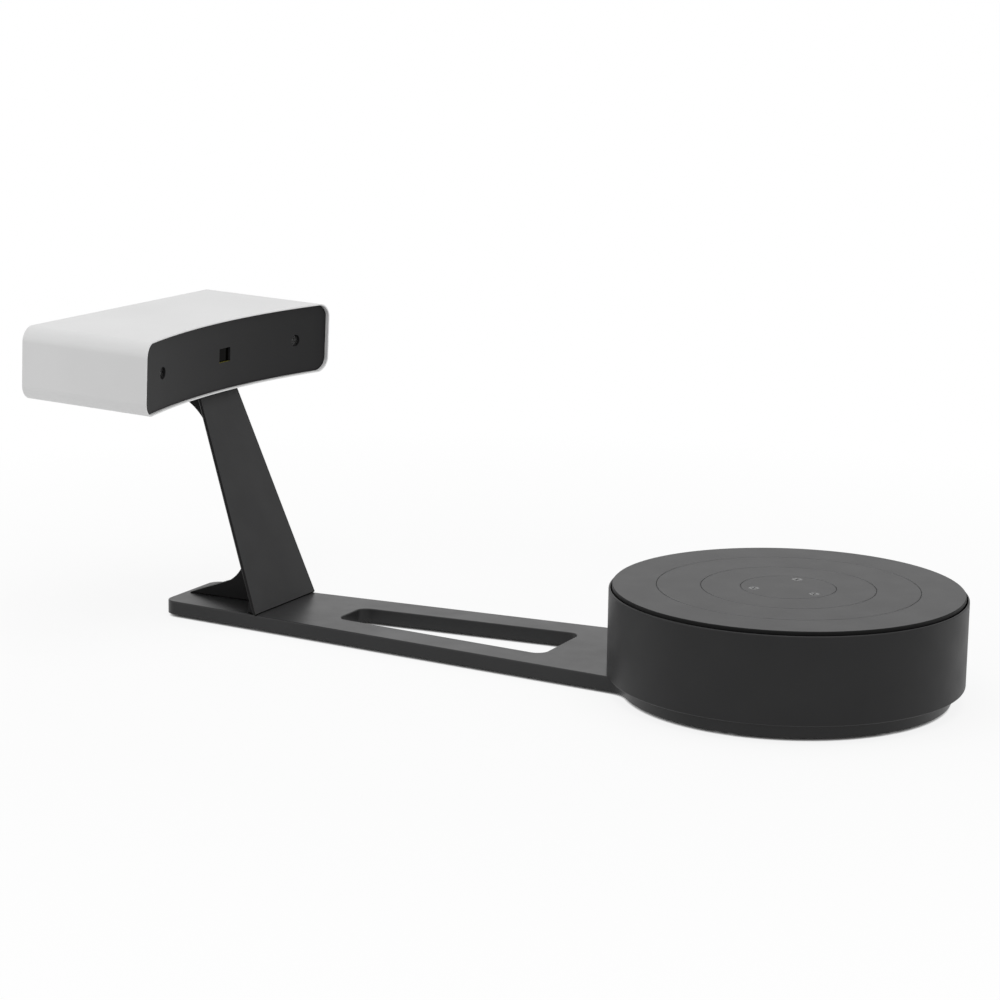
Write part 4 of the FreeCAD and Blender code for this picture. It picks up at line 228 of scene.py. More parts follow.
class Shader:
    """A new node material, with its main shader and object coordinates at hand."""

    def __init__(self, name):
        self.material = bpy.data.materials.new(name)
        self.material.use_nodes = True
        self.tree = self.material.node_tree
        self.tree.nodes.clear()
        self.output = self.tree.nodes.new("ShaderNodeOutputMaterial")
        self.main = self.tree.nodes.new("ShaderNodeBsdfPrincipled")
        self.link(self.main.outputs["BSDF"], self.output.inputs["Surface"])
        self.place = self.tree.nodes.new("ShaderNodeTexCoord").outputs["Object"]

    def link(self, start, end):
        """Join two sockets."""
        self.tree.links.new(start, end)

    def feed(self, name, source):
        """Let a source drive one socket of the main shader."""
        self.link(source, self.main.inputs[name])

    def set(self, **values):
        """Fill in constants on the main shader's own sockets."""
        for name, value in values.items():
            self.main.inputs[name.replace("_", " ")].default_value = value

    def add(self, kind, **values):
        """A node with its settings and sockets filled in."""
        node = self.tree.nodes.new(kind)
        for name, value in values.items():
            if name.startswith("in_"):
                node.inputs[name[3:].replace("_", " ")].default_value = value
            else:
                setattr(node, name, value)
        return node

    def noise(self, grain, detail=3.0, stretch=None):
        """Noise whose grains are that size, in millimetres."""
        start = self.place
        if stretch:
            mapping = self.add("ShaderNodeMapping", in_Scale=stretch)
            self.link(start, mapping.inputs["Vector"])
            start = mapping.outputs["Vector"]
        node = self.add("ShaderNodeTexNoise", in_Scale=1 / (grain * MM), in_Detail=detail)
        self.link(start, node.inputs["Vector"])
        return node.outputs["Fac"]

    def spread(self, source, low, high, start=0.3, end=0.7):
        """A value from low to high as the source goes from start to end."""
        node = self.add("ShaderNodeMapRange", in_From_Min=start, in_From_Max=end,
                        in_To_Min=low, in_To_Max=high)
        self.link(source, node.inputs["Value"])
        return node.outputs["Result"]

    def tint(self, factor, first, second):
        """A colour between two, by a factor."""
        node = self.add("ShaderNodeMix", data_type="RGBA")
        ends = [socket for socket in node.inputs if socket.type == "RGBA"]
        for socket, value in zip(ends, (first, second)):
            if isinstance(value, bpy.types.NodeSocket):
                self.link(value, socket)
            else:
                socket.default_value = (*value, 1)
        self.link(factor, node.inputs["Factor"])
        return [socket for socket in node.outputs if socket.type == "RGBA"][0]

    def clouds(self, source, value, darker, lighter):
        """Colour the main shader unevenly, from darker to lighter shares of a colour."""
        factor = self.spread(source, low=0, high=1)
        self.feed("Base Color", self.tint(factor, shade(value, darker), shade(value, lighter)))

    def bumps(self, source, depth):
        """Surface bumps from a source, with a depth in millimetres."""
        node = self.add("ShaderNodeBump", in_Strength=1.0, in_Distance=depth * MM)
        self.link(source, node.inputs["Height"])
        self.feed("Normal", node.outputs["Normal"])


def shade(value, times):
    """A colour made darker or lighter."""
    return tuple(min(1.0, part * times) for part in value)


def blasted_metal(name, value, roughness, grain=0.35, depth=0.006, shine=0.2, cloudy=0.07):
    """Blasted and anodised metal: a fine even grain, with faint handling clouds in its gloss."""
    s = Shader(name)
    s.clouds(s.noise(38.0, 4.0), value, 1 - cloudy, 1 + cloudy)
    s.feed("Roughness", s.spread(s.noise(21.0, 5.0), roughness - cloudy / 2, roughness + cloudy / 2))
    s.bumps(s.noise(grain, 2.0), depth)
    s.set(Metallic=0.0, IOR=1.5, Specular_IOR_Level=shine)
    return s.material


def spark_plastic(name, value, roughness, grain=0.55, depth=0.008, shine=0.5):
    """Moulded plastic with a fine spark-eroded skin."""
    s = Shader(name)
    skin = s.noise(grain, 4.0)
    s.clouds(s.noise(60.0, 2.0), value, 0.98, 1.02)
    s.feed("Roughness", s.spread(skin, roughness - 0.04, roughness + 0.04))
    s.bumps(skin, depth)
    s.set(Metallic=0.0, IOR=1.47, Specular_IOR_Level=shine)
    return s.material


def machined_metal(name, value, roughness, stretch=(1, 14, 1), grain=1.6, depth=0.004):
    """Bare metal with fine lines from the tool."""
    s = Shader(name)
    lines = s.noise(grain, 3.0, stretch)
    s.clouds(lines, value, 0.88, 1.05)
    s.feed("Roughness", s.spread(s.noise(8.0), roughness - 0.06, roughness + 0.06))
    s.bumps(lines, depth)
    s.set(Metallic=1.0)
    return s.material


def soft_rubber(name, value):
    """Matt rubber with a faint bloom."""
    s = Shader(name)
    s.clouds(s.noise(6.0, 5.0), value, 1.0, 1.5)
    s.bumps(s.noise(0.5, 3.0), 0.02)
    s.set(Roughness=0.75)
    return s.material


def circuit_board(name):
    """Solder mask over copper tracks, with tinned pads."""
    s = Shader(name)
    tracks = s.add("ShaderNodeTexBrick", in_Scale=180.0, in_Mortar_Size=0.035)
    s.link(s.place, tracks.inputs["Vector"])
    pads = s.add("ShaderNodeTexVoronoi", in_Scale=330.0)
    s.link(s.place, pads.inputs["Vector"])
    pad = s.spread(pads.outputs["Distance"], low=1, high=0, start=0.16, end=0.20)
    mask = s.tint(tracks.outputs["Fac"], (0.010, 0.085, 0.030), (0.022, 0.15, 0.055))
    s.feed("Base Color", s.tint(pad, mask, (0.55, 0.52, 0.44)))
    s.feed("Roughness", s.spread(pad, low=0.42, high=0.28, start=0, end=1))
    s.bumps(tracks.outputs["Fac"], 0.03)
    return s.material


def dark_glass(name, value, clear, bending=1.5):
    """Tinted glass: how clear it is, and how much it bends light."""
    s = Shader(name)
    s.feed("Roughness", s.spread(s.noise(5.0, 2.0), 0.02, 0.05))
    s.set(Base_Color=(*value, 1), IOR=bending, Transmission_Weight=clear)
    return s.material


FINISHES = {}


def make_finishes(colours):
    """Every finish, by name."""
    rough = colours.metal_roughness
    FINISHES.update({
        "shell": spark_plastic("white_shell", colours.shell, colours.shell_roughness, depth=0.004),
        "panel": spark_plastic("dark_panel", colours.panel, 0.5, 0.4, 0.005, shine=0.14),
        # Painted highlight: a lighter copy of the shell's white, for the front rim
        "bright_rim": spark_plastic("bright_rim", (0.92, 0.92, 0.92), colours.shell_roughness, depth=0.002),
        # Painted highlight: an olive glint for the projector window's lit lower wall
        "olive_edge": spark_plastic("olive_edge", (0.11, 0.10, 0.015), 0.5, shine=0.2),
        "plate": blasted_metal("plate_metal", colours.plate, rough - 0.08, shine=0.25),
        "stand": blasted_metal("stand_coat", colours.stand, rough + 0.1, 0.5, 0.008, shine=0.15),
        # Painted shade: a darker copy of the stand's coat, for its faces that look away from the light
        "rib": blasted_metal("rib_coat", shade(colours.stand, 0.4), rough + 0.15, 0.5, 0.008, shine=0.08),
        "drum": blasted_metal("drum_metal", colours.drum, rough + 0.04),
        "platter": blasted_metal("platter_metal", colours.platter, rough, cloudy=0.03),
        # Painted highlight: a much lighter copy of the platter's colour, for the walls of the engraved
        # grooves
        "engraving": blasted_metal("engraving", shade(colours.platter, 10), rough),
        # Painted shade: a darker copy, for the platter's edge, underside and groove floors
        "dark_edge": blasted_metal("dark_edge", (0.006, 0.006, 0.006), 0.5, shine=0.1),
        # Painted shade: near black, for joints, gaps and recesses where shade falls
        "black_gap": blasted_metal("black_gap", (0.0015, 0.0015, 0.0015), 0.7, shine=0.0),
        "rubber": soft_rubber("foot_rubber", colours.rubber),
        "cable": soft_rubber("cable_skin", (0.012, 0.012, 0.012)),
        "black_plastic": spark_plastic("black_plastic", (0.018, 0.018, 0.018), 0.5, 0.7, 0.01),
        "black_oxide": machined_metal("black_oxide", (0.10, 0.10, 0.105), 0.38, (1, 1, 1), 0.6, 0.003),
        "steel": machined_metal("turned_steel", (0.56, 0.57, 0.58), 0.28, (1, 1, 10)),
        "aluminium": machined_metal("milled_aluminium", (0.74, 0.75, 0.76), 0.36),
        "blued_steel": blasted_metal("blued_steel", (0.05, 0.05, 0.051), 0.26, 0.3, 0.003, shine=0.55),
        "chip": spark_plastic("chip_epoxy", (0.022, 0.022, 0.024), 0.45, 0.5, 0.006),
        "brass": machined_metal("turned_brass", (0.72, 0.53, 0.24), 0.3, (1, 1, 8)),
        "gear": spark_plastic("gear_plastic", (0.74, 0.72, 0.65), 0.42, 0.8, 0.006),
        "board": circuit_board("circuit_board"),
        "pane": dark_glass("smoked_pane", (0.25, 0.25, 0.25), 0.88, 1.2),
        "window": dark_glass("black_pane", (0.002, 0.002, 0.0015), 0.0, 1.08),
        "lens": dark_glass("coated_lens", (0.012, 0.014, 0.022), 0.0),
        "light": dark_glass("light_pipe", (0.80, 0.84, 0.88), 0.6),
    })


# Finishes of the parts that keep their shape, those of steel left out
NODE_FINISH = {
    "rubber_feet": "rubber",
    "link_cable": "cable",
    "cable_cover": "black_plastic",
    "projector_window": "window",
    "camera_windows": "pane",
    "projector_engine": "black_plastic",
    "heat_sink": "aluminium",
    "fan_frame": "black_plastic",
    "fan_rotor": "black_plastic",
    "head_mounting_plate": "black_oxide",
    "optical_bench": "aluminium",
    "main_board_spacers": "brass",
    "power_jack": "black_plastic",
    "power_button": "black_plastic",
    "button_switch": "board",
    "status_light": "light",
    "chassis_plate": "aluminium",
    "chassis_posts": "aluminium",
    "bearing_housing": "aluminium",
    "drive_gear": "gear",
    "pinion": "brass",
    "motor_body": "black_oxide",
    "turntable_board_spacers": "brass",
}

# Screws: their node and body, the way their heads look, the finishes of head and recess walls, the radius
# Painted shade: the near-black finish on the platter screws' recess walls, and on every recess bottom,
# stands in for the shade in the recess
SCREWS = (
    ("platter_screws", "platter", UP, "blued_steel black_gap", SUNK_HEAD),
    ("gear_screws", "platter", -UP, "steel steel", SMALL_HEAD),
    ("housing_screws", "machine", -UP, "black_oxide black_oxide", LARGE_HEAD),
    ("stand_screws", "machine", -UP, "black_oxide black_oxide", LARGE_HEAD),
    ("post_screws", "machine", -UP, "steel steel", LARGE_HEAD),
    ("head_screws", "machine", -HEAD_UP, "black_oxide black_oxide", LARGE_HEAD),
    ("chassis_screws", "machine", UP, "steel steel", LARGE_HEAD),
    ("motor_screws", "machine", UP, "steel steel", LARGE_HEAD),
    ("bearing_housing_screws", "machine", UP, "steel steel", SMALL_HEAD),
    ("turntable_board_screws", "machine", UP, "steel steel", SMALL_HEAD),
    ("main_board_screws", "machine", HEAD_UP, "steel steel", SMALL_HEAD),
    ("bench_screws", "machine", HEAD_UP, "steel steel", SMALL_HEAD),
    ("fascia_screws", "machine", -HEAD_AHEAD, "steel steel", SMALL_HEAD),
    ("fan_screws", "machine", -HEAD_AHEAD, "black_oxide black_oxide", SMALL_HEAD),
    ("rear_cover_screws", "machine", -HEAD_AHEAD, "black_oxide black_oxide", SMALL_HEAD),
)


# Modelling helpers

def choose(*things):
    """Select these objects alone, the first of them active."""
    bpy.ops.object.select_all(action="DESELECT")
    for thing in things:
        thing.select_set(True)
    bpy.context.view_layer.objects.active = things[0]


def edit(piece, kind="EDGE"):
    """Open one piece in edit mode with nothing selected."""
    choose(piece)
    bpy.ops.object.mode_set(mode="EDIT")
    bpy.ops.mesh.select_mode(type=kind)
    bpy.ops.mesh.select_all(action="DESELECT")


def leave_edit():
    """Go back to object mode."""
    bpy.ops.object.mode_set(mode="OBJECT")


def pick(piece, kind, keep):
    """Select the edges, faces or vertices that keep accepts."""
    cage = bmesh.from_edit_mesh(piece.data)
    chosen = [item for item in getattr(cage, kind) if keep(item)]
    if not chosen:
        raise RuntimeError(f"nothing to select on {piece.name}")
    for item in chosen:
        item.select_set(True)
    bmesh.update_edit_mesh(piece.data)


def named(name):
    """Name the new primitive, with its place and size in its mesh."""
    bpy.ops.object.transform_apply(location=True, rotation=True, scale=True)
    bpy.context.object.name = name
    return bpy.context.object


def merged_copy(node, name):
    """A frame part's copy, with its doubles merged and its flat faces joined."""
    piece = bpy.data.objects.new(name, FRAME["nodes"][node].data.copy())
    bpy.context.scene.collection.objects.link(piece)
    edit(piece, "VERT")
    bpy.ops.mesh.select_all(action="SELECT")
    bpy.ops.mesh.remove_doubles(threshold=SAME_PLACE)
    bpy.ops.mesh.dissolve_limited(angle_limit=SAME_PLANE)
    leave_edit()
    bpy.ops.mesh.customdata_custom_splitnormals_clear()
    return piece


def soften(piece, width, keep, steps=2):
    """Round the edges that keep accepts."""
    edit(piece)
    pick(piece, "edges", keep)
    bpy.ops.mesh.bevel(offset=width, segments=steps, profile=0.5, affect="EDGES", clamp_overlap=True)
    leave_edit()


def turn_in(piece, keep, forward, steps):
    """Step a face inwards, as on a lathe: pairs of a ledge's width and a depth."""
    edit(piece, "FACE")
    pick(piece, "faces", keep)
    for ledge, depth in steps:
        bpy.ops.mesh.inset(thickness=ledge, depth=0)
        bpy.ops.mesh.extrude_region_move(TRANSFORM_OT_translate={"value": forward * -depth})
    leave_edit()


def carve(piece, tool):
    """Cut a tool out of a piece, and remove the tool."""
    modifier = piece.modifiers.new("carve", "BOOLEAN")
    modifier.operation = "DIFFERENCE"
    modifier.solver = "EXACT"
    modifier.object = tool
    choose(piece)
    bpy.ops.object.modifier_apply(modifier=modifier.name)
    bpy.data.objects.remove(tool)


def smooth(piece, angle=32):
    """Smooth shading that leaves flat faces flat and sharp edges sharp."""
    choose(piece)
    bpy.ops.object.shade_smooth_by_angle(angle=math.radians(angle))
    modifier = piece.modifiers.new("even", "WEIGHTED_NORMAL")
    modifier.keep_sharp = True
    bpy.ops.object.modifier_apply(modifier=modifier.name)


def settle(piece, finishes, body, node=None):
    """Give a finished piece its finishes and its body, and hide the part that it stands for."""
    piece.data.materials.clear()
    for item in finishes.split():
        piece.data.materials.append(FINISHES[item])
    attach(piece, body)
    if node:
        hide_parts(node)


def paint(piece, number, keep):
    """Give the faces that keep accepts the piece's finish of that number."""
    for face in piece.data.polygons:
        if keep(face):
            face.material_index = number


def sharp(edge, degrees):
    """Whether an edge turns by more than that."""
    return len(edge.link_faces) == 2 and edge.calc_face_angle(0) > math.radians(degrees)


def both_ends(edge, test):
    """Whether the places of an edge's two ends pass a test."""
    return all(test(vertex.co) for vertex in edge.verts)


def faces_to(edge, way):
    """Whether one of an edge's faces looks that way."""
    return any(face.normal.dot(way) > ALIGNED for face in edge.link_faces)


def groups_of(piece):
    """The loose groups of a mesh, each as a list of points."""
    cage = bmesh.new()
    cage.from_mesh(piece.data)
    seen = set()
    groups = []
    for vertex in cage.verts:
        if vertex in seen:
            continue
        seen.add(vertex)
        group = [vertex]
        for item in group:
            for other in (edge.other_vert(item) for edge in item.link_edges):
                if other not in seen:
                    seen.add(other)
                    group.append(other)
        groups.append([item.co.copy() for item in group])
    cage.free()
    return groups


def end_middle(points, way):
    """The middle of the end of a group of points that lies furthest that way."""
    reach = max(point.dot(way) for point in points)
    rim = [point for point in points if point.dot(way) > reach - CLOSE]
    return Vector([(min(p[i] for p in rim) + max(p[i] for p in rim)) / 2 for i in range(3)])


def behind_front(point):
    """How far a point lies behind the head's hollow front."""
    place = IN_HEAD @ point
    return math.hypot(place.x - FRONT_RADIUS + FRONT_HOLLOW, place.y) - FRONT_RADIUS


def from_axis(point):
    """The distance of a point from the turntable's axis."""
    return math.hypot(point.x - AXIS.x, point.y - AXIS.y)


def camera_frame(side):
    """A camera's own frame: it looks along X from the centre of the hollow front's arc."""
    centre = Matrix.Translation((FRONT_RADIUS - FRONT_HOLLOW, 0, 0))
    return HEAD @ centre @ Matrix.Rotation(-side * CAMERA_ANGLE, 4, "Z")


# Pieces

class SCANNER_OT_stage(bpy.types.Operator):
    """Set up the camera, the floor and the soft light"""

    bl_idname = "scanner.stage"
    bl_label = "Studio"

    def execute(self, context):
        studio = context.scene.scanner_studio
        self.camera(context.scene, studio)
        self.floor(context)
        self.world(context.scene, studio.ambient)
        self.soft_box("key_light", place=(0.25, -0.15, 1.7), target=(0.05, 0, 0.1),
                      size=1.8, power=studio.key)
        self.soft_box("side_light", place=(-1.5, -1.3, 0.9), target=(-0.1, 0, 0.1),
                      size=1.2, power=studio.side)
        return {"FINISHED"}

    def camera(self, scene, studio):
        """The camera that sees the scanner as the studio's settings say."""
        data = bpy.data.cameras.new("studio_camera")
        data.lens = studio.lens
        data.sensor_width = SENSOR_WIDTH
        data.clip_end = VIEW_END
        camera = bpy.data.objects.new("studio_camera", data)
        scene.collection.objects.link(camera)
        camera.location = studio.place
        view = Euler((math.pi / 2 - studio.tilt, 0, studio.turn)).to_matrix()
        camera.rotation_euler = (view @ Matrix.Rotation(studio.roll, 3, "Z")).to_euler()
        scene.camera = camera
        scene.view_settings.view_transform = "Standard"

    @staticmethod
    def rays_seen(tree):
        """1 for what the camera sees directly, in a reflection or through glass."""
        rays = tree.nodes.new("ShaderNodeLightPath")
        seen = rays.outputs["Is Camera Ray"]
        for name in ("Is Glossy Ray", "Is Transmission Ray"):
            larger = tree.nodes.new("ShaderNodeMath")
            larger.operation = "MAXIMUM"
            tree.links.new(seen, larger.inputs[0])
            tree.links.new(rays.outputs[name], larger.inputs[1])
            seen = larger.outputs[0]
        return seen

    def floor(self, context):
        """A pale floor that turns white with distance, and keeps the dark line under the plate."""
        bpy.ops.mesh.primitive_plane_add(size=FLOOR_SIZE, location=(0, 0, 0))
        floor = context.object
        floor.name = "studio_floor"
        s = Shader("studio_floor")
        s.set(Base_Color=(0.9, 0.9, 0.9, 1), Roughness=0.9, Specular_IOR_Level=0.0)
        white = s.add("ShaderNodeEmission", in_Strength=1.0)
        mix = s.add("ShaderNodeMixShader")
        far = s.add("ShaderNodeVectorMath", operation="LENGTH")
        s.link(s.place, far.inputs[0])
        open_air = s.add("ShaderNodeAmbientOcclusion", in_Distance=CONTACT_REACH)
        distance = s.spread(far.outputs["Value"], low=0.87, high=1.0, start=0.3, end=0.75)
        contact = s.spread(open_air.outputs["AO"], low=0, high=1, start=0.12, end=0.45)
        whiteness = self.rays_seen(s.tree)
        for part in (distance, contact):
            product = s.add("ShaderNodeMath", operation="MULTIPLY")
            s.link(whiteness, product.inputs[0])
            s.link(part, product.inputs[1])
            whiteness = product.outputs[0]
        s.link(whiteness, mix.inputs["Fac"])
        s.link(s.main.outputs["BSDF"], mix.inputs[1])
        s.link(white.outputs["Emission"], mix.inputs[2])
        s.link(mix.outputs["Shader"], s.output.inputs["Surface"])
        floor.data.materials.append(s.material)

    def world(self, scene, ambient):
        """An even light that shows as white wherever it is seen."""
        world = bpy.data.worlds.new("studio_world")
        scene.world = world
        world.use_nodes = True
        tree = world.node_tree
        tree.nodes.clear()
        output = tree.nodes.new("ShaderNodeOutputWorld")
        even = tree.nodes.new("ShaderNodeBackground")
        even.inputs["Strength"].default_value = ambient
        white = tree.nodes.new("ShaderNodeBackground")
        for node in (even, white):
            node.inputs["Color"].default_value = (1, 1, 1, 1)
        mix = tree.nodes.new("ShaderNodeMixShader")
        tree.links.new(self.rays_seen(tree), mix.inputs["Fac"])
        tree.links.new(even.outputs[0], mix.inputs[1])
        tree.links.new(white.outputs[0], mix.inputs[2])
        tree.links.new(mix.outputs[0], output.inputs["Surface"])

    def soft_box(self, name, place, target, size, power):
        """A round area lamp that the camera doesn't see."""
        data = bpy.data.lights.new(name, "AREA")
        data.energy = power
        data.shape = "DISK"
        data.size = size
        lamp = bpy.data.objects.new(name, data)
        bpy.context.scene.collection.objects.link(lamp)
        lamp.location = place
        lamp.rotation_euler = (Vector(target) - Vector(place)).to_track_quat("-Z", "Y").to_euler()
        lamp.visible_camera = False


class SCANNER_OT_finishes(bpy.types.Operator):
    """Make the finishes and give each of the frame's parts its own"""

    bl_idname = "scanner.finishes"
    bl_label = "Finishes"

    def execute(self, context):
        make_finishes(context.scene.scanner_colours)
        for node, thing in FRAME["nodes"].items():
            thing.data.materials.clear()
            thing.data.materials.append(FINISHES[NODE_FINISH.get(node, "steel")])
        return {"FINISHED"}


class SCANNER_OT_head_shell(bpy.types.Operator):
    """Round the white shell's rims, paint a highlight on the front one and cut the closing seam"""

    bl_idname = "scanner.head_shell"
    bl_label = "Head shell"

    def execute(self, context):
        details = context.scene.scanner_details
        piece = merged_copy("head_shell", "white_sleeve")
        soften(piece, details.rim_round, self.at_rim, 3)
        carve(piece, self.seam(details.seam))
        smooth(piece)
        settle(piece, "shell bright_rim", "machine", "head_shell")
        corners = piece.data.vertices
        # Painted highlight: the front rim's faces get the lighter white
        paint(piece, 1, lambda face: all(
            behind_front(corners[i].co) < PANEL_SET + LOOSE for i in face.vertices))
        return {"FINISHED"}

    @staticmethod
    def at_rim(edge):
        """Whether an edge lies on the front rim, or on the outer or inner line of the rear rim."""
        at_rear = both_ends(edge, lambda end: abs((IN_HEAD @ end).x + HEAD_DEPTH) < NEAR)
        at_front = both_ends(edge, lambda end: abs(behind_front(end)) < NEAR)
        return sharp(edge, 40) and (at_rear or at_front)

    @staticmethod
    def seam(width):
        """A thin bar along the middle of the far end wall, longer than the wall."""
        bpy.ops.mesh.primitive_cube_add(size=1)
        bar = bpy.context.object
        bar.scale = (SEAM_REACH, 2 * width, width)
        bar.location = (-HEAD_DEPTH / 2, HEAD_WIDTH / 2, HEAD_MIDDLE)
        bar = named("seam_tool")
        bar.data.transform(HEAD)
        return bar


class SCANNER_OT_panels(bpy.types.Operator):
    """Soften the openings and edges of the head's front and rear panels, and paint an olive highlight on
    the lower wall of the projector's window
    """

    bl_idname = "scanner.panels"
    bl_label = "Front and rear panels"

    def execute(self, context):
        width = context.scene.scanner_details.edge_round
        front = merged_copy("front_fascia", "hollow_front_panel")
        soften(front, width, self.on_front)
        smooth(front)
        settle(front, "panel olive_edge", "machine", "front_fascia")
        # Painted highlight: the lower wall of the projector's window is painted olive
        paint(front, 1, self.under_window)
        rear = merged_copy("rear_cover", "rear_panel")
        soften(rear, width * REAR_SHARE, lambda edge: sharp(edge, 60) and faces_to(edge, -HEAD_AHEAD))
        smooth(rear)
        settle(rear, "panel", "machine", "rear_cover")
        return {"FINISHED"}

    @staticmethod
    def on_front(edge):
        """Whether an edge lies on the front panel's outer face."""
        return sharp(edge, 50) and both_ends(edge, lambda end: abs(behind_front(end) - PANEL_SET) < NEAR)

    @staticmethod
    def under_window(face):
        """Whether a face belongs to the lower wall of the projector's window."""
        place = IN_HEAD @ face.center
        low = abs(place.z - HEAD_MIDDLE + WINDOW_HEIGHT / 2) < LOOSE
        return low and abs(place.y - WINDOW_SIDE) < WINDOW_WIDTH / 2 + LOOSE


class SCANNER_OT_stand(bpy.types.Operator):
    """Round the stand's long edges and the base plate's upper edges, and leave a fine joint between them;
    paint shade on the stand's faces that don't look forwards, and paint the joint's lower faces black as
    shade
    """

    bl_idname = "scanner.stand"
    bl_label = "Stand and base plate"

    def execute(self, context):
        details = context.scene.scanner_details
        piece = merged_copy("stand", "leaning_stand")
        soften(piece, details.foot_joint, self.at_foot, 1)
        soften(piece, details.edge_round * STAND_SHARE, self.is_long)
        smooth(piece, 28)
        settle(piece, "stand rib black_gap", "machine", "stand")
        joint_top = BASE_TOP + details.foot_joint
        # Painted shade: every face of the stand that doesn't look forwards gets the darker copy of its coat
        paint(piece, 1, lambda face: face.normal.x < FORWARDS)
        # Painted shade: the downward faces of the foot's chamfer are painted near black
        paint(piece, 2, lambda face: face.normal.z < DOWNWARDS and face.center.z < joint_top)
        plate = merged_copy("base_plate", "rounded_base_plate")
        soften(plate, details.edge_round, self.on_plate)
        smooth(plate)
        settle(plate, "plate", "machine", "base_plate")
        return {"FINISHED"}

    @staticmethod
    def at_foot(edge):
        """Whether an edge is one of those round the stand's foot, on the base plate."""
        low = both_ends(edge, lambda end: end.z < BASE_TOP + CLOSE)
        return low and sharp(edge, 40) and edge.calc_length() > FOOT_EDGE

    @classmethod
    def is_long(cls, edge):
        """Whether an edge is one of the stand's long ones, clear of the base plate."""
        return sharp(edge, 50) and edge.calc_length() > LONG_EDGE and not cls.at_foot(edge)

    @staticmethod
    def on_plate(edge):
        """Whether an edge lies on the base plate's upper face."""
        return sharp(edge, 50) and both_ends(edge, lambda end: abs(end.z - BASE_TOP) < CLOSE)


class SCANNER_OT_turntable(bpy.types.Operator):
    """Round the drum's and the platter's edges; paint the drum's bore black as shade in the gap, paint
    shade on the platter's edge, underside and groove floors, and paint a highlight on the groove walls
    """

    bl_idname = "scanner.turntable"
    bl_label = "Turntable"

    def execute(self, context):
        width = context.scene.scanner_details.edge_round
        drum = self.rounded("turntable_housing", "rounded_drum", DRUM_BORE, width)
        settle(drum, "drum black_gap", "machine", "turntable_housing")
        # Painted shade: the drum's bore, in the gap round the platter, is painted near black
        paint(drum, 1, lambda face: from_axis(face.center) < DRUM_BORE + LOOSE)
        platter = self.rounded("platter", "rounded_platter", PLATTER_RADIUS, width * PLATTER_SHARE)
        settle(platter, "platter dark_edge engraving", "platter", "platter")
        # Painted highlight on the groove walls, and painted shade on the groove floors, the platter's
        # rounded edge and its underside
        paint(platter, 2, self.engraved)
        paint(platter, 1, lambda face: self.engraved(face) and face.normal.z > ALIGNED)
        paint(platter, 1, lambda face: from_axis(face.center) > PLATTER_RADIUS - PLATTER_EDGE
              or face.center.z < PLATTER_TOP - PLATTER_SKIN)
        return {"FINISHED"}

    @staticmethod
    def rounded(node, name, radius, width):
        """A copy of a round part, with its sharp edges rounded from that radius outwards."""
        piece = merged_copy(node, name)
        soften(piece, width, lambda edge: sharp(edge, 40)
               and both_ends(edge, lambda end: from_axis(end) > radius - LOOSE))
        smooth(piece)
        return piece

    @staticmethod
    def engraved(face):
        """Whether a face of the platter lies below its top."""
        return face.center.z < PLATTER_TOP - CLOSE


class SCANNER_OT_lenses(bpy.types.Operator):
    """Turn the lens barrels and set their glass"""

    bl_idname = "scanner.lenses"
    bl_label = "Lenses"

    def execute(self, context):
        glass = context.scene.scanner_details.camera_glass
        ledge = (CAMERA_BARREL - glass) / len(CAMERA_DEPTHS)
        steps = [(ledge, depth) for depth in CAMERA_DEPTHS]
        for side, way in ((1, "left"), (-1, "right")):
            forward = camera_frame(side).to_3x3() @ AHEAD
            self.lens(f"{way}_camera_lens", f"{way}_camera", forward, steps, glass)
        glass = PROJECTOR_BARREL - sum(ledge for ledge, depth in PROJECTOR_STEPS)
        self.lens("projector_lens", "projector", HEAD_AHEAD, PROJECTOR_STEPS, glass)
        return {"FINISHED"}

    def lens(self, node, name, forward, steps, glass):
        """Step a barrel's front inwards, and set its glass behind the last step."""
        piece = merged_copy(node, f"{name}_lens_barrel")
        points = [vertex.co.copy() for vertex in piece.data.vertices]
        front = max(point.dot(forward) for point in points)
        middle = end_middle(points, forward)

        def foremost(place):
            return place.dot(forward) > front - NEAR

        turn_in(piece, lambda face: face.normal.dot(forward) > ALIGNED
                and foremost(face.calc_center_median()), forward, steps)
        soften(piece, BARREL_ROUND, lambda edge: sharp(edge, 60) and both_ends(edge, foremost))
        smooth(piece)
        settle(piece, "black_plastic", "machine", node)
        depth = sum(depth for ledge, depth in steps)
        self.glass(f"{name}_lens_glass", glass * GLASS_FIT, middle - forward * depth, forward)

    @staticmethod
    def glass(name, radius, place, forward):
        """A shallow dome of coated glass."""
        bpy.ops.object.select_all(action="DESELECT")
        bpy.ops.mesh.primitive_uv_sphere_add(segments=48, ring_count=24, radius=radius)
        piece = named(name)
        edit(piece, "FACE")
        bpy.ops.mesh.select_all(action="SELECT")
        bpy.ops.mesh.bisect(plane_co=(0, 0, 0), plane_no=(0, 0, 1), use_fill=True, clear_inner=True)
        bpy.ops.mesh.select_all(action="SELECT")
        bpy.ops.transform.resize(value=(1, 1, GLASS_DOME), center_override=(0, 0, 0))
        leave_edit()
        upright = forward.to_track_quat("Z", "Y").to_matrix().to_4x4()
        piece.data.transform(Matrix.Translation(place) @ upright)
        smooth(piece, 40)
        settle(piece, "lens", "machine")


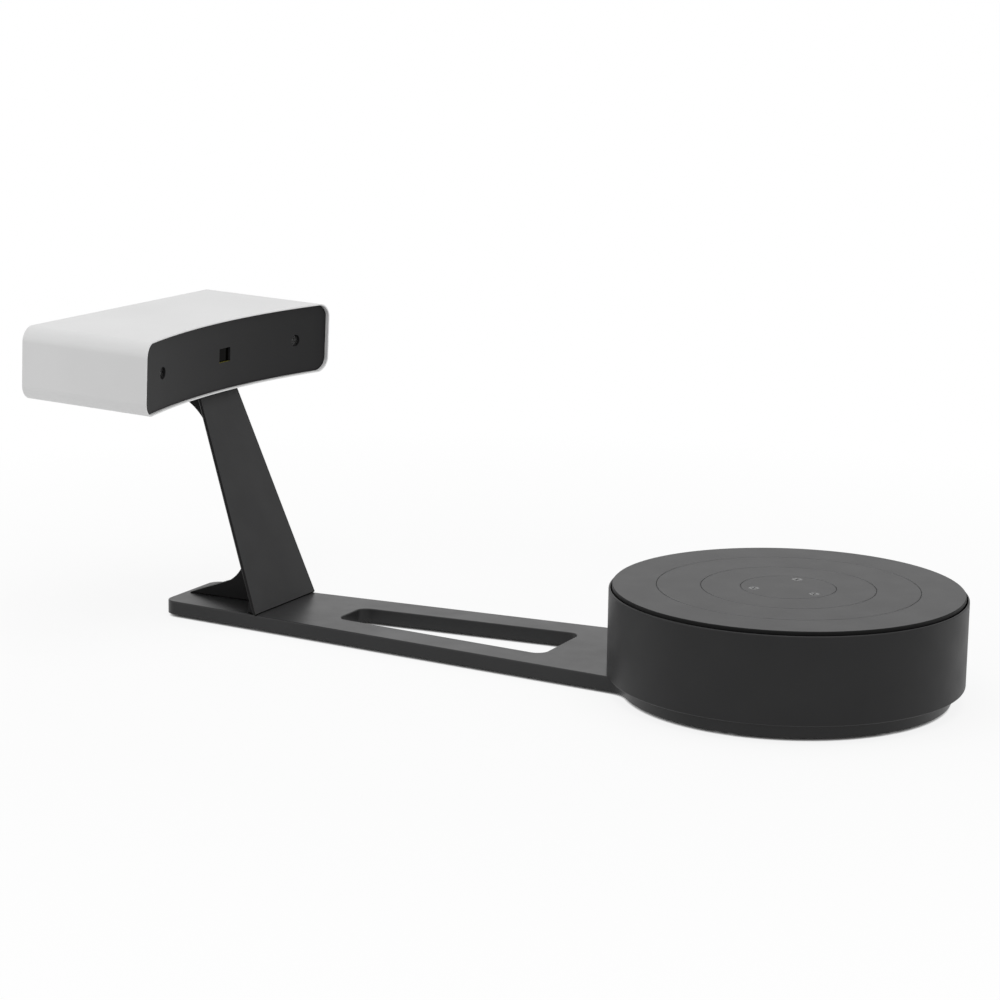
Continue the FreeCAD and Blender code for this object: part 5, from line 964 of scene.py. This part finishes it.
class SCANNER_OT_screws(bpy.types.Operator):
    """Give every screw its rounded head and cross recess, with the recess bottoms, and the platter screws'
    recess walls, painted black as shade
    """

    bl_idname = "scanner.screws"
    bl_label = "Screws"

    def execute(self, context):
        details = context.scene.scanner_details
        for node, body, way, finishes, radius in SCREWS:
            self.group(details, node, body, way, f"{finishes} black_gap", radius * details.recess_reach)
        return {"FINISHED"}

    def group(self, details, node, body, way, finishes, reach):
        """Round and cross a group of screws, with finishes for head, recess walls and recess bottom; the
        bottom's near black is painted shade.
        """
        piece = merged_copy(node, f"crossed_{node}")
        soften(piece, details.screw_round, lambda edge: sharp(edge, 40) and faces_to(edge, way), 3)
        middles = [end_middle(points, way) for points in groups_of(piece)]
        carve(piece, self.cutter(middles, way, reach, details.recess_depth))
        smooth(piece)
        settle(piece, finishes, body, node)

        def recessed(face):
            away = min((face.center - middle for middle in middles), key=lambda gap: gap.length)
            depth = -away.dot(way)
            return NEAR < depth < details.recess_depth and (away + way * depth).length < reach

        # Painted shade: the recess walls get their listed finish, near black on the platter screws, and
        # every recess bottom is painted near black
        paint(piece, 1, recessed)
        paint(piece, 2, lambda face: face.normal.dot(way) > ALIGNED and recessed(face))

    def cutter(self, middles, way, reach, depth):
        """One cutter for the recesses of a whole group of screws."""
        upright = way.to_track_quat("Z", "Y").to_matrix().to_4x4()
        tools = []
        for middle in middles:
            tool = self.cross(reach, depth)
            tool.data.transform(Matrix.Translation(middle) @ upright)
            tools.append(tool)
        choose(*tools)
        if len(tools) > 1:
            bpy.ops.object.join()
        return tools[0]

    @staticmethod
    def cross(reach, depth):
        """A cutter for one cross recess, its mouth just above the origin."""
        bpy.ops.object.select_all(action="DESELECT")
        bpy.ops.mesh.primitive_grid_add(x_subdivisions=3, y_subdivisions=3, size=2 * reach)
        tool = named("cross_tool")
        edit(tool, "FACE")
        pick(tool, "faces", lambda face: abs(face.calc_center_median().x) > reach / 2
             and abs(face.calc_center_median().y) > reach / 2)
        bpy.ops.mesh.delete(type="FACE")
        for axis, size in ((0, (ARM_WIDTH, 1, 1)), (1, (1, ARM_WIDTH, 1))):
            bpy.ops.mesh.select_mode(type="VERT")
            bpy.ops.mesh.select_all(action="DESELECT")
            pick(tool, "verts", lambda vertex: abs(vertex.co[axis]) < reach / 2)
            bpy.ops.transform.resize(value=size, center_override=(0, 0, 0))
        bpy.ops.mesh.select_all(action="SELECT")
        bpy.ops.transform.translate(value=(0, 0, CUTTER_RISE))
        bpy.ops.mesh.extrude_region_move(TRANSFORM_OT_translate={"value": (0, 0, -depth)})
        bpy.ops.transform.resize(value=(RECESS_TAPER, RECESS_TAPER, 1), center_override=(0, 0, 0))
        bpy.ops.mesh.select_all(action="SELECT")
        bpy.ops.mesh.normals_make_consistent(inside=False)
        leave_edit()
        return tool


class SCANNER_OT_boards(bpy.types.Operator):
    """Tell the chips and sockets from their boards"""

    bl_idname = "scanner.boards"
    bl_label = "Circuit boards"

    def execute(self, context):
        on_base = Matrix.Translation((0, 0, BASE_TOP))
        camera_low = -CAMERA_BOARD - BOARD_THICKNESS
        self.board("turntable_board", on_base, 2, CONTROL_HEIGHT)
        self.board("main_board", HEAD, 2, MAIN_LIFT)
        self.board("left_camera_board", camera_frame(1), 0, camera_low)
        self.board("right_camera_board", camera_frame(-1), 0, camera_low)
        return {"FINISHED"}

    def board(self, node, place, axis, low):
        """Finish a board whose sheet starts at low on that axis of its place, and what stands on it."""
        piece = merged_copy(node, f"{node}_fitted")
        settle(piece, "board chip", "machine", node)
        back = place.inverted()
        high = low + BOARD_THICKNESS
        paint(piece, 1, lambda face: not low - CLOSE < (back @ face.center)[axis] < high + CLOSE)
        smooth(piece)


class SCANNER_PT_panel(bpy.types.Panel):
    """Every piece and setting of the scanner"""

    bl_label = "Desktop scanner"
    bl_idname = "SCANNER_PT_panel"
    bl_space_type = "VIEW_3D"
    bl_region_type = "UI"
    bl_category = "Scanner"

    def draw(self, context):
        layout = self.layout
        for setting in SETTINGS:
            group = getattr(context.scene, setting)
            box = layout.box()
            for name in group.bl_rna.properties.keys():
                if name not in ("rna_type", "name"):
                    box.prop(group, name)
        for step in STEPS:
            layout.operator(step)


SETTINGS = {
    "scanner_colours": ScannerColours,
    "scanner_details": ScannerDetails,
    "scanner_studio": ScannerStudio,
}
OPERATORS = (
    SCANNER_OT_stage,
    SCANNER_OT_finishes,
    SCANNER_OT_head_shell,
    SCANNER_OT_panels,
    SCANNER_OT_stand,
    SCANNER_OT_turntable,
    SCANNER_OT_lenses,
    SCANNER_OT_screws,
    SCANNER_OT_boards,
)
STEPS = [operator.bl_idname for operator in OPERATORS]


def register():
    """Make the add-on's classes and settings known."""
    for kind in (*SETTINGS.values(), *OPERATORS, SCANNER_PT_panel):
        bpy.utils.register_class(kind)
    for name, kind in SETTINGS.items():
        setattr(bpy.types.Scene, name, PointerProperty(type=kind))


def unregister():
    """Take the add-on's classes and settings away again."""
    for name in SETTINGS:
        delattr(bpy.types.Scene, name)
    for kind in (SCANNER_PT_panel, *reversed(OPERATORS), *reversed(SETTINGS.values())):
        bpy.utils.unregister_class(kind)


def main():
    """Make every piece in order."""
    register()
    for step in STEPS:
        group, name = step.split(".")
        getattr(getattr(bpy.ops, group), name)()


if __name__ == "__main__":
    main()
